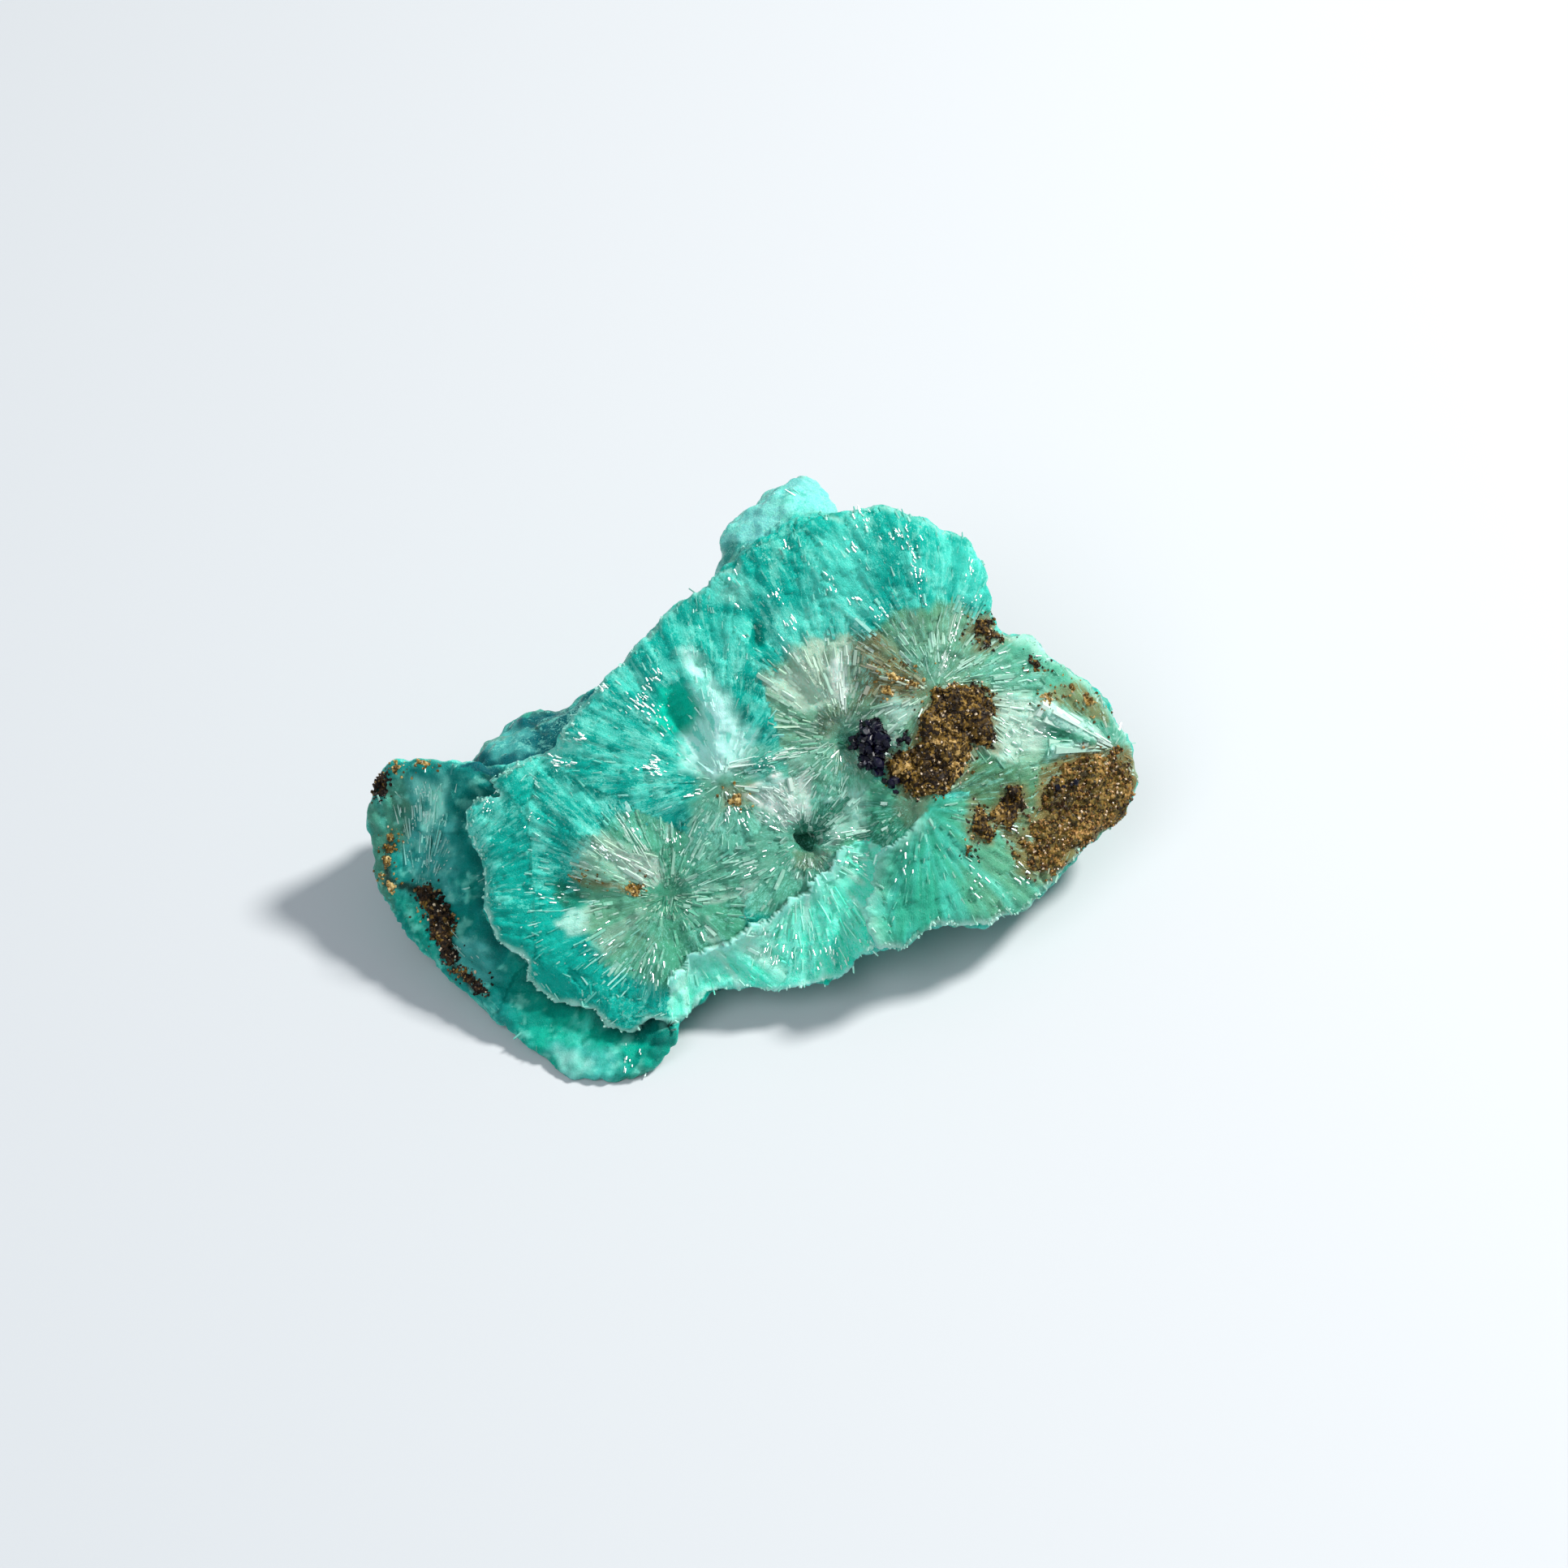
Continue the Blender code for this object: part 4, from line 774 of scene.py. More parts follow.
def relief(skin):
    """How far each point moves outward into shards, crests, pits and knobs."""
    places, main = skin.places, skin.main
    u, v, w = places.T

    # Shards and crests on the broad face.
    lift = SHARD_HEIGHT * skin.shards(SHARD_LENGTH, SHARD_WIDTH, 3)
    lift += BIG_SHARD_HEIGHT * skin.shards(2.0 * SHARD_LENGTH, 2.2 * SHARD_WIDTH, 9)
    lift *= smooth_step(0.4, 3.0, skin.reach)
    ragged_u, ragged_v = skin.scalloped()
    below = inside(MINT_FAN, ragged_u, ragged_v)
    in_petal = inside(PETAL, ragged_u, ragged_v)
    to_scarp = distance_to_line(SCARP, ragged_u, ragged_v)
    to_petal = distance_to_line(PETAL_CREST[1:], ragged_u, ragged_v)
    lift += np.where(below, 0.35, -0.55) * np.exp(-to_scarp / 0.7)
    lift += np.where(in_petal, 0.55, -0.5) * np.exp(-to_petal / 0.8)

    # The pit, with a jagged edge, and smaller dents.
    jagged = 0.62 * (1 + 0.9 * skin.noise_along(3.0, 0.0, 8))
    lift -= 0.9 * np.exp(-((u - PIT[0]) ** 2 + (v - PIT[1]) ** 2) / jagged**2)
    for dent_u, dent_v, half_u, half_v, depth in DENTS:
        lift -= depth * np.exp(-(((u - dent_u) / half_u) ** 2) - ((v - dent_v) / half_v) ** 2)
    lift *= main

    # A groove and knobs on the left end, lumps on the sides and back, knobs on the rear lump.
    left = smooth_step(-4.0, -8.0, u) * (v < 27) * ~skin.in_outline * skin.front
    lift -= 1.1 * left * np.exp(-((skin.rim / 0.9) ** 2))
    lift += left * (0.30 * (knobs(places, 1.6) - 0.6) + 0.16 * (knobs(places, 0.7) - 0.55))
    fibre = skin.noise_along(FIBRES_AROUND * 0.5, 0.25, 4)
    lumpy = 0.5 * (knobs(places, 2.6) - 0.6) * (1 - skin.front) + 0.15 * rough(places, 1.2, 11)
    lift += (1 - main) * (lumpy + 0.25 * fibre)
    in_lump = inside(LUMP, u, v) * (w < -1.0)
    lift += in_lump * (0.30 * (knobs(places, 1.5) - 0.6) + 0.20 * (knobs(places, 0.8) - 0.5))

    # A fine roughness all over, and small knobs above the scarp.
    lift += 0.10 * rough(places, 0.8, 6) + 0.05 * rough(places, 0.4, 7)
    lift += main * (1 - below) * 0.14 * (knobs(places, 0.9) - 0.55)
    return lift


def tints(skin):
    """The colour of each point, its share of white flecks and where its pale flakes lie."""
    main, front = skin.main, skin.front
    u, v, w = skin.places.T
    wide = rough(skin.places, 3.2, 21)
    fine = rough(skin.places, 1.1, 22)
    sugary = rough(skin.places, 0.42, 27)
    drawn = skin.noise_along(FIBRES_AROUND * 0.32, 0.22, 23)
    blotch = skin.noise_along(FIBRES_AROUND * 0.40, 0.5, 24)
    sector = skin.noise_along(3.6, 0.03, 25)
    spoke = skin.noise_along(12.0, 0.06, 26)
    warp = 0.5 * fine
    colour = np.tile(linear(TURQUOISE), (len(u), 1))
    flake = blotch + 0.4 * drawn + 0.4 * wide - 0.5 * smooth_step(22.0, 12.0, v)
    frost = 0.45 + 0.25 * wide + 0.2 * drawn

    def blend(shade, share):
        colour[:] = mixed(colour, linear(shade), np.clip(share, 0, 1))

    def without_flakes(share):
        flake[:] = flake - 1.2 * np.clip(share, 0, 1)

    # Ragged places, softly for areas and sharply for the crests' edges.
    soft_u, soft_v = u + 0.5 * wide + 0.2 * fine, v + 0.5 * fine
    sharp_u, sharp_v = skin.scalloped()

    def paint(areas, where):
        for outline, shade, share, soft, streaks in areas:
            deep = depth_within(outline, soft_u, soft_v) + 0.5 * streaks * drawn
            amount = where * smooth_step(-soft, soft, deep)
            blend(shade, amount * share * (1 + 1.5 * streaks * (0.6 * drawn + 0.5 * spoke)))
            if shade in FLAKELESS:
                without_flakes(amount * 0.8)

    in_mint = inside(MINT_FAN, sharp_u, sharp_v) * main
    in_petal = inside(PETAL, sharp_u, sharp_v) * main
    in_wing = inside(WING, soft_u, soft_v) * main * (1 - in_petal)
    above_scarp = (1 - in_mint) * (1 - in_petal)
    to_scarp = distance_to_line(SCARP, sharp_u, sharp_v)
    to_petal = distance_to_line(PETAL_CREST[1:], sharp_u, sharp_v)

    # The turquoise field and the fans in it.
    blend(DEEP, smooth_step(0.1, 0.6, -wide + 0.5 * fine) * 0.35)
    paint(FACE_AREAS, main)
    for k, (fan_shade, edge_share, pale_share, dark_share) in enumerate(FAN_SHADES):
        fan_u, fan_v, radius = FANS[k]
        from_centre = np.hypot(u - fan_u, v - fan_v)
        edge = radius + 0.9 * wide + 0.5 * drawn
        zone = main * (skin.fan == k) * (1 - 0.5 * in_wing) * above_scarp
        within = zone * (1 - smooth_step(-0.9, 0.5, from_centre - edge))
        band = np.exp(-(((from_centre - edge + 0.4) / 0.45) ** 2))
        pale = smooth_step(0.08, 0.4, sector + 0.3 * spoke)
        dark = smooth_step(0.08, 0.4, -sector + 0.5 * spoke)
        blend(fan_shade, within * 0.92)
        blend(OLIVE, zone * band * edge_share)
        blend(WHITE, within * pale * pale_share)
        blend(OLIVE_TEAL, within * dark * dark_share)
        blend(OLIVE_TEAL, zone * (1 - smooth_step(0.4, 1.8, from_centre)) * 0.5)
        without_flakes(within)

    # The wing, the petal and the stains beneath the crusts.
    blend(SEA_GREEN, in_wing * 0.85)
    blend(PALE, in_wing * smooth_step(0.05, 0.5, drawn + 0.5 * fine) * 0.35)
    without_flakes(in_wing)
    paint(FAN_AREAS, main * above_scarp)
    blend(PETAL_GREEN, in_petal * 0.95)
    blend(PETAL_SAGE, in_petal * smooth_step(14.5, 20.0, soft_u) * 0.8)
    blend(MINT, in_petal * smooth_step(-0.1, 0.4, drawn + 0.3 * spoke) * 0.4)
    # Painted highlight along the petal's crest.
    blend(PALE, in_petal * np.exp(-to_petal / 0.5) * 0.6)
    without_flakes(in_petal)
    paint(WING_AREAS, main * (1 - in_petal * (u < 22)))
    for name, _, _, outline, _, _ in CRUSTS:
        if name in STAINED:
            deep = depth_within(outline, soft_u, soft_v) + 0.4 * fine
            blend(STAIN, main * smooth_step(-0.8, 0.3, deep) * 0.75)

    # The mint fan, painted highlight and painted shade along the crests, and painted shade in the pit.
    shade = main * above_scarp
    blend(DARK_TEAL, shade * np.exp(-to_petal / 1.2) * 0.4 * (u < 13.5))
    blend(FAN_MINT, in_mint * 0.95)
    blend(TURQUOISE, in_mint * smooth_step(0.2, 0.55, drawn + 0.4 * spoke) * 0.35)
    blend(PALE, in_mint * smooth_step(0.0, 0.5, -drawn + 0.4 * spoke) * 0.7)
    blend(PALE, in_mint * np.exp(-to_scarp / 1.3) * 0.7)
    blend(DARK_TEAL, shade * np.exp(-to_scarp / 0.9) * 0.35)
    without_flakes(in_mint)
    blend(PIT_SHADE, main * patch(u, v, PIT, (1.2, 1.0), warp * 0.6))

    # Painted highlight: the rim of the face made pale, where its thin edges catch the light.
    rim_highlight = np.where(v < 15, 0.75, 0.4) * (1 - patch(u, v, (1.5, 46.0), (5.5, 3.0)))
    blend(PALE, main * (1 - smooth_step(0.1, 0.6, skin.rim + 0.3 * fine)) * rim_highlight)

    # The lump behind the upper rim, which fades into the back.
    in_lump = smooth_step(-0.8, 0.1, depth_within(LUMP, soft_u, soft_v)) * (w < -1.5)
    in_lump *= 1 - 0.75 * smooth_step(0.15, -0.5, skin.outward[:, 2] + 0.6 * wide + 0.4 * fine)
    blend(LUMP_MINT, in_lump)
    blend(MINT, in_lump * smooth_step(0.1, 0.5, wide + 0.5 * fine + 0.5 * sugary) * 0.5)
    blend(DEEP, in_lump * patch(u, v, (-1.6, 44.6), (1.6, 1.4), warp) * 0.8)
    without_flakes(in_lump)

    # The left end and the ledge, with painted shade in the groove under the rim, and the seam.
    end = ~skin.in_outline * front * (v < 28)
    ledge = smooth_step(-22.0, -17.0, u)
    # Painted shade: the end beside the ledge darkened to blue teal.
    blend(BLUE_TEAL, end * (1 - ledge) * 0.9)
    blend(LEDGE_TEAL, end * ledge * 0.9)
    without_flakes(end * 0.5)
    blend(MINT, end * smooth_step(0.05, 0.35, wide + 0.6 * fine + 0.6 * sugary) * 0.45)
    blend(DEEP, end * smooth_step(0.05, 0.35, -wide + 0.6 * fine - 0.6 * sugary) * 0.5)
    paint(END_AREAS, end)
    blend(MIST, end * smooth_step(0.22, 0.6, fine + 0.4 * drawn + 0.5 * sugary) * 0.35)
    blend(GROOVE_SHADE, end * (u < -5) * (1 - smooth_step(0.1, 1.1, skin.rim + 0.5 * fine)) * 0.7)
    to_seam = distance_to_line(SEAM, soft_u, soft_v)
    blend(DARK_BROWN, end * (1 - smooth_step(0.1, 0.5, to_seam)) * 0.8)

    # The ridge at the rear left, dark teal as painted shadow of the slab, and the hidden sides and
    # back.
    looks_out = smooth_step(-0.1, 0.3, skin.outward[:, 2] + 0.2 * fine)
    ridge = inside(RIDGE, soft_u, soft_v) * (w < -3) * looks_out
    blend(RIDGE_SHADE, ridge * 0.95)
    blend(FROST_BLUE, ridge * patch(u, v, (-21.8, 29.0), (3.0, 1.6), warp) * 0.75)
    without_flakes(ridge)
    hidden = 1 - front
    blend(MINT, hidden * smooth_step(-0.2, 0.4, wide) * 0.5)
    blend(SAGE, hidden * smooth_step(0.15, 0.5, fine - wide + 0.4 * sugary) * 0.35)

    # White flecks: few on the smooth band and the low left, more on the mint fan and the lump.
    on_band = main * patch(u, v, (-6.4, 31.4), (2.0, 2.4), warp)
    low_left = main * smooth_step(20.0, 10.0, v) * smooth_step(-9.0, -14.0, u) * (1 - in_mint)
    without_flakes(0.3 * low_left)
    frost = frost + 0.2 * in_mint - 0.25 * in_petal - 0.1 * in_wing - 0.8 * on_band - 0.35 * end
    frost += 0.15 * in_lump - 0.3 * low_left
    return colour, np.clip(frost, 0, 1), flake


# Materials.


class Nodes:
    """A short way to write a material's nodes. Scales are per metre of the object."""

    def __init__(self, name):
        self.material = bpy.data.materials.new(name)
        self.material.use_nodes = True
        self.tree = self.material.node_tree
        self.shader = self.tree.nodes["Principled BSDF"]
        self.place = self.add("TexCoord").outputs["Object"]

    def add(self, kind, *values, settings=None, **inputs):
        """A new node, with its inputs given in their order or by name."""
        node = self.tree.nodes.new("ShaderNode" + kind)
        for name, value in (settings or {}).items():
            setattr(node, name, value)
        for socket, value in zip(node.inputs, values):
            self.join(value, socket)
        for name, value in inputs.items():
            self.join(value, node.inputs[name])
        return node

    def join(self, value, socket):
        """Link or set a socket."""
        if isinstance(value, bpy.types.NodeSocket):
            self.tree.links.new(value, socket)
        else:
            socket.default_value = value

    def attribute(self, name, output="Fac"):
        return self.add("Attribute", settings={"attribute_name": name}).outputs[output]

    def island(self):
        """A value of its own for each loose part of the mesh."""
        return self.add("NewGeometry").outputs["Random Per Island"]

    def maths(self, operation, *values):
        return self.add("Math", *values, settings={"operation": operation}).outputs[0]

    def total(self, *terms):
        """The sum of terms, each a value or a value and its weight."""
        terms = [self.maths("MULTIPLY", *term) if isinstance(term, tuple) else term for term in terms]
        result = terms[0]
        for term in terms[1:]:
            result = self.maths("ADD", result, term)
        return result

    def span(self, value, low, high, first=0.0, last=1.0):
        """A smooth rise from first at low to last at high."""
        settings = {"interpolation_type": "SMOOTHSTEP"}
        return self.add("MapRange", value, low, high, first, last, settings=settings).outputs[0]

    def mix(self, share, first, second):
        """Two colours mixed. Those given as three sRGB bytes are made linear."""
        node = self.add("Mix", share, settings={"data_type": "RGBA"})
        for value, socket in ((first, node.inputs[6]), (second, node.inputs[7])):
            self.join(opaque(value) if isinstance(value, tuple) else value, socket)
        return node.outputs[2]

    def darker(self, colour, saturation, value):
        """A colour made deeper."""
        node = self.add("HueSaturation", Saturation=saturation, Value=value, Color=colour)
        return node.outputs["Color"]

    def noise(self, vector, scale, detail, fourth=None, roughness=0.55):
        inputs = {"Vector": vector, "Scale": scale, "Detail": detail, "Roughness": roughness}
        if fourth is not None:
            inputs["W"] = fourth
        settings = {"noise_dimensions": "3D" if fourth is None else "4D"}
        return self.add("TexNoise", settings=settings, **inputs).outputs["Fac"]

    def ramp(self, level, shades):
        """A colour ramp over level, from positions and sRGB colours."""
        node = self.add("ValToRGB", Fac=level)
        stops = node.color_ramp.elements
        while len(stops) < len(shades):
            stops.new(0.5)
        for stop, (position, colour) in zip(stops, shades):
            stop.position = position
            stop.color = opaque(colour)
        return node.outputs["Color"]

    def finish(self, colour, roughness, constants, bump=None):
        """Join the shader's colour and roughness, set its constants, and add a bump."""
        self.join(colour, self.shader.inputs["Base Color"])
        self.join(roughness, self.shader.inputs["Roughness"])
        for name, value in constants.items():
            self.shader.inputs[name].default_value = value
        if bump:
            strength, distance, height = bump
            node = self.add("Bump", Strength=strength, Distance=distance, Height=height)
            self.join(node.outputs["Normal"], self.shader.inputs["Normal"])
        return self.material


def stone_material():
    """Milky fibres with pale flakes, streaks and white specks over the painted colours."""
    n = Nodes("fibrous stone")
    fibre = n.attribute("fibre", "Vector")
    reach = n.attribute("reach")
    frost = n.attribute("frost")
    broad = n.noise(fibre, 1.3, 3.0, n.maths("MULTIPLY", reach, 0.5), 0.6)
    thin = n.noise(fibre, 4.0, 3.0, n.maths("MULTIPLY", reach, 1.4), 0.65)
    grain = n.noise(n.place, 2600.0, 4.0, None, 0.7)
    flaky = n.total((grain, 0.9), (thin, 1.1), -1.0, n.attribute("flake"))
    flakes = n.span(flaky, -0.02, 0.2, 0.0, 0.7)
    shift = n.maths("MULTIPLY", n.total(frost, -0.5), 0.30)
    streaks = n.span(n.total(broad, shift), 0.50, 0.60, 0.0, 0.32)
    shadows = n.span(broad, 0.48, 0.38, 0.0, 0.20)
    plain = n.total((thin, 0.7), (grain, 0.3))
    sharp = n.total(plain, shift)
    flecks = n.span(sharp, 0.55, 0.61, 0.0, 0.5)
    darks = n.span(n.maths("MAXIMUM", plain, sharp), 0.46, 0.38, 0.0, 0.20)
    # White specks where frost is high: frosted fibre ends, and painted sparkle.
    specks = n.maths("MULTIPLY", n.span(grain, 0.66, 0.74, 0.0, 0.7), n.span(frost, 0.0, 0.4))
    colour = n.mix(flakes, n.attribute("tint", "Color"), MINT)
    colour = n.mix(streaks, colour, MIST)
    colour = n.mix(n.maths("MAXIMUM", darks, shadows), colour, n.darker(colour, 1.2, 0.66))
    colour = n.mix(flecks, colour, MIST)
    colour = n.mix(specks, colour, WHITE)
    return n.finish(colour, n.span(thin, 0.35, 0.65, 0.12, 0.42), {
        "IOR": 1.5,
        "Specular IOR Level": 0.13,
        "Subsurface Weight": 0.5,
        "Subsurface Radius": (0.4, 1.0, 0.9),
        "Subsurface Scale": 0.0014,
    }, (0.8, 0.00025, n.total((thin, 0.65), (grain, 0.35))))


def splinter_material():
    """The stone's glassy splinters: their own tint, each a little lighter or darker."""
    n = Nodes("splinters")
    island = n.island()
    streak = n.noise(n.place, 2500.0, 2.0)
    pale = n.mix(n.span(island, 0.55, 1.0, 0.0, 0.22), n.attribute("tint", "Color"), WHITE)
    colour = n.mix(n.span(island, 0.35, 0.0, 0.0, 0.25), pale, n.darker(pale, 1.15, 0.7))
    colour = n.mix(n.span(streak, 0.5, 0.75, 0.0, 0.3), colour, WHITE)
    return n.finish(colour, n.span(streak, 0.3, 0.7, 0.108, 0.288), {"IOR": 1.62})


def glint_material():
    """Splinters that shine white: painted highlight in their colour, and the key light's reflection."""
    n = Nodes("glints")
    streak = n.noise(n.place, 3000.0, 2.0)
    colour = n.mix(streak, GLINT_MINT, GLINT_WHITE)
    return n.finish(colour, n.span(streak, 0.3, 0.7, 0.12, 0.30), {"IOR": 1.8})


def brown_patches(n, own, weight, offset, shades):
    """Brown that varies in broad and middling patches, and with a grain's own value."""
    broad = n.noise(n.place, 420.0, 3.0)
    middling = n.noise(n.place, 1500.0, 2.0)
    return n.ramp(n.total((broad, 1.7), (middling, 0.7), offset, (own, weight)), shades)


def crust_material(name, shades, shine):
    """Sugary brown crystals, each cell with its own shade."""
    n = Nodes(name)
    cells = n.add("TexVoronoi", Vector=n.place, Scale=3600.0)
    own = n.add("SeparateColor", Color=cells.outputs["Color"]).outputs[0]
    fine = n.noise(n.place, 5200.0, 3.0)
    colour = brown_patches(n, own, 0.9, -1.26, shades)
    height = n.total((cells.outputs["Distance"], -0.6), fine)
    roughness = n.span(fine, 0.35, 0.65, shine, 0.75)
    return n.finish(colour, roughness, {"Specular IOR Level": 0.22}, (0.7, 0.0001, height))


def grain_material(name, shades):
    """Loose brown grains, each with its own shade, and a few pinkish white: pale grains with painted
    sparkle.
    """
    n = Nodes(name)
    island = n.island()
    colour = brown_patches(n, island, 1.1, -1.36, shades)
    colour = n.mix(n.span(island, 0.92, 0.94, 0.0, 0.75), colour, PINKISH)
    roughness = n.span(n.noise(n.place, 5200.0, 3.0), 0.3, 0.7, 0.18, 0.6)
    return n.finish(colour, roughness, {"Specular IOR Level": 0.22, "IOR": 1.6})


def crystal_material():
    """Glossy crystals that are nearly black, with an indigo cast."""
    n = Nodes("indigo crystals")
    fine = n.noise(n.place, 2600.0, 3.0)
    colour = n.mix(n.island(), BLACK_BLUE, DARK_INDIGO)
    colour = n.mix(n.span(fine, 0.62, 0.8, 0.0, 0.4), colour, INDIGO)
    return n.finish(colour, n.span(fine, 0.3, 0.7, 0.10, 0.35), {"IOR": 1.5}, (0.3, 0.00008, fine))


# Splinters, strands, plates, blades, teeth and glints: thin laths that lie on the stone.


class Ground:
    """The finished stone, to stand pieces on. Face millimetres."""

    def __init__(self, mesh):
        self.points = to_face(read_vertices(mesh, "co"))
        self.normals = face_directions(read_vertices(mesh, "normal"))
        polygons = [face.vertices[:] for face in mesh.polygons]
        self.corners = [corners[0] for corners in polygons]
        self.tree = BVHTree.FromPolygons(self.points.tolist(), polygons)

    def under(self, u, v):
        """The place and the direction out of the stone at u, v, or None beside it."""
        place, normal, _, _ = self.tree.ray_cast((u, v, RAY_START), (0, 0, -1))
        return None if place is None else (np.array(place), np.array(normal))

    def vertices_near(self, places):
        """The stone's vertex that is close to each place."""
        return [self.corners[self.tree.find_nearest(place)[2]] for place in places.tolist()]


def laths(name, starts, along, up, lengths, widths, heights, sink, tapers, shades=None):
    """Thin six-sided laths in one mesh, each from its start, along and up. Face millimetres."""
    across = np.cross(along, up)
    corners = []
    for far, size in ((0.0, np.ones(len(starts))), (1.0, tapers)):
        middle = starts + along * (far * lengths)[:, None]
        for side, rise in ((-1, 0), (1, 0), (1, 1), (-1, 1)):
            spread = across * (side * widths / 2 * size * (0.75 if rise else 1.0))[:, None]
            corners.append(middle + spread + up * (rise * heights - sink)[:, None])
    points = np.stack(corners, axis=1).reshape(-1, 3)
    faces = (np.arange(len(starts))[:, None, None] * 8 + np.array(LATH_QUADS)).reshape(-1, 4)
    mesh = new_mesh(name, points, faces[:, ::-1].tolist())
    if shades is not None:
        store_tint(mesh, np.repeat(shades, 8, axis=0))
    return mesh


def splinters(ground, skin, colours):
    """Short splinters along the fibres, all over the front."""
    chance = np.random.default_rng(SEED)
    weight = skin.front * (0.25 + skin.main) * (skin.places[:, 1] > -2)
    picked = chance.choice(len(weight), SPLINTERS, replace=False, p=weight / weight.sum())
    normal = ground.normals[picked]
    along = perpendicular(skin.way[picked] + 0.10 * chance.normal(size=(SPLINTERS, 3)), normal)
    up = perpendicular(normal + 0.35 * chance.normal(size=(SPLINTERS, 3)), along)
    lengths = chance.uniform(0.3, 1.0, SPLINTERS)
    widths = chance.uniform(0.08, 0.24, SPLINTERS)
    along = unit(along + normal * chance.uniform(-0.05, 0.04, SPLINTERS)[:, None])
    heights = chance.uniform(0.08, 0.14, SPLINTERS)
    tapers = chance.uniform(0.2, 0.9, SPLINTERS)
    shades = mixed(colours[picked], linear(PALE), chance.uniform(0, 1, SPLINTERS) ** 2 * 0.35)
    starts = ground.points[picked]
    return laths("splinters", starts, along, up, lengths, widths, heights, 0.09, tapers, shades)


def plates(ground, skin, colours):
    """Flat plates along the fibres of the fans, tipped this way and that, flush with the stone."""
    chance = np.random.default_rng(SEED + 6)
    radius = np.array([radius for _, _, radius in FANS] + [0.0] * len(HIDDEN_FANS))[skin.fan]
    in_fan = (skin.reach > 0.9) * (skin.reach < radius + 0.5)
    weight = skin.main * in_fan * (ground.normals[:, 2] > 0.5)
    picked = chance.choice(len(weight), PLATES, replace=False, p=weight / weight.sum())
    normal = ground.normals[picked]
    along = perpendicular(skin.way[picked] + 0.04 * chance.normal(size=(PLATES, 3)), normal)
    lengths = chance.uniform(0.6, 2.0, PLATES)
    ends = ground.points[picked] + along * lengths[:, None]
    under = [ground.under(*end[:2]) for end in ends]
    flush = np.array([
        found is not None and -0.15 < end[2] - found[0][2] < 0.10 for found, end in zip(under, ends)
    ])
    picked, normal, along, lengths = picked[flush], normal[flush], along[flush], lengths[flush]
    count = len(picked)
    starts = ground.points[picked]
    up = perpendicular(normal + 0.30 * chance.normal(size=(count, 3)), along)
    widths = chance.uniform(0.15, 0.45, count)
    heights = chance.uniform(0.12, 0.18, count)
    tapers = chance.uniform(0.4, 1.2, count)
    own = colours[ground.vertices_near(starts + COLOUR_FROM * along * lengths[:, None])]
    own = own * chance.uniform(0.8, 1.12, count)[:, None]
    shades = mixed(own, linear(PALE), chance.uniform(0, 1, count) ** 2 * 0.3)
    return laths("plates", starts, along, up, lengths, widths, heights, 0.10, tapers, shades)


def rosettes():
    """Short strands all round the centres of the fans, as rows like those of STRANDS."""
    chance = np.random.default_rng(SEED + 5)
    rows = []
    for u, v, inner, outer, count, pale, dark in ROSETTES:
        for angle in (np.arange(count) + chance.uniform(0, 0.8, count)) * math.tau / count:
            first = chance.uniform(inner, 0.5 * outer)
            last = chance.uniform(0.6, 1.0) * outer
            start, end = ((u + math.cos(angle) * r, v + math.sin(angle) * r) for r in (first, last))
            rows.append((start, end, 0.1, 0.16, 3, pale if chance.choice(2) else dark, 0.6))
    return rows


def strands(ground, colours):
    """Thin laths along each strand's line, nearly flush with the stone."""
    chance = np.random.default_rng(SEED + 1)
    rows = []
    for (u0, v0), (u1, v1), spread, width, count, shade, share in STRANDS + rosettes():
        du, dv = u1 - u0, v1 - v0
        far = math.hypot(du, dv)
        for _ in range(count):
            k = chance.uniform(0, 0.85)
            aside = chance.normal() * spread * (0.45 + 0.55 * k)
            found = ground.under(u0 + du * k - dv / far * aside, v0 + dv * k + du / far * aside)
            if found is None or found[1][2] < 0.3:
                continue
            place, normal = found
            turn = math.atan2(dv, du) + 0.9 * aside / far + 0.04 * chance.normal()
            direction = np.array((math.cos(turn), math.sin(turn), 0.0))
            direction = perpendicular(direction[None], normal[None])[0]
            length = min(far * (1 - 0.6 * k) * chance.uniform(0.2, 0.6), 2.4, far * (1.05 - k))
            end = ground.under(*(place + direction * length)[:2])
            if end is None or place[2] + direction[2] * length - end[0][2] > STRAND_LIFT:
                continue
            along = direction + normal * chance.uniform(-0.04, 0.02)
            up = normal + 0.3 * chance.normal(size=3)
            lath_width = width * chance.uniform(0.5, 1.2)
            strength = share * chance.uniform(0.3, 1.0)
            rows.append((place, along, up, length, lath_width, strength, linear(shade)))
    starts, along, up, lengths, widths, strengths, shades = (np.array(part) for part in zip(*rows))
    along = unit(along)
    up = perpendicular(up, along)
    own = colours[ground.vertices_near(starts + COLOUR_FROM * along * lengths[:, None])]
    shades = mixed(own, shades, strengths)
    heights = chance.uniform(0.10, 0.15, len(rows))
    tapers = chance.uniform(0.1, 0.8, len(rows))
    return laths("strands", starts, along, up, lengths, widths, heights, 0.09, tapers, shades)


def blades(ground):
    """Long glassy blades that taper to a point where they meet."""
    rows = []
    for start, end, width, height, white in BLADES:
        (first, first_normal), (last, last_normal) = ground.under(*start), ground.under(*end)
        shade = mixed(linear(SEA_GREEN), linear(WHITE), white)[0]
        rows.append((first, last - first, first_normal + last_normal, width, height, shade))
    starts, along, up, widths, heights, shades = (np.array(part) for part in zip(*rows))
    lengths = np.linalg.norm(along, axis=1)
    along = unit(along)
    up = perpendicular(up, along)
    tapers = np.full(len(rows), 0.12)
    return laths("blades", starts, along, up, lengths, widths, heights, 0.5 * heights, tapers, shades)


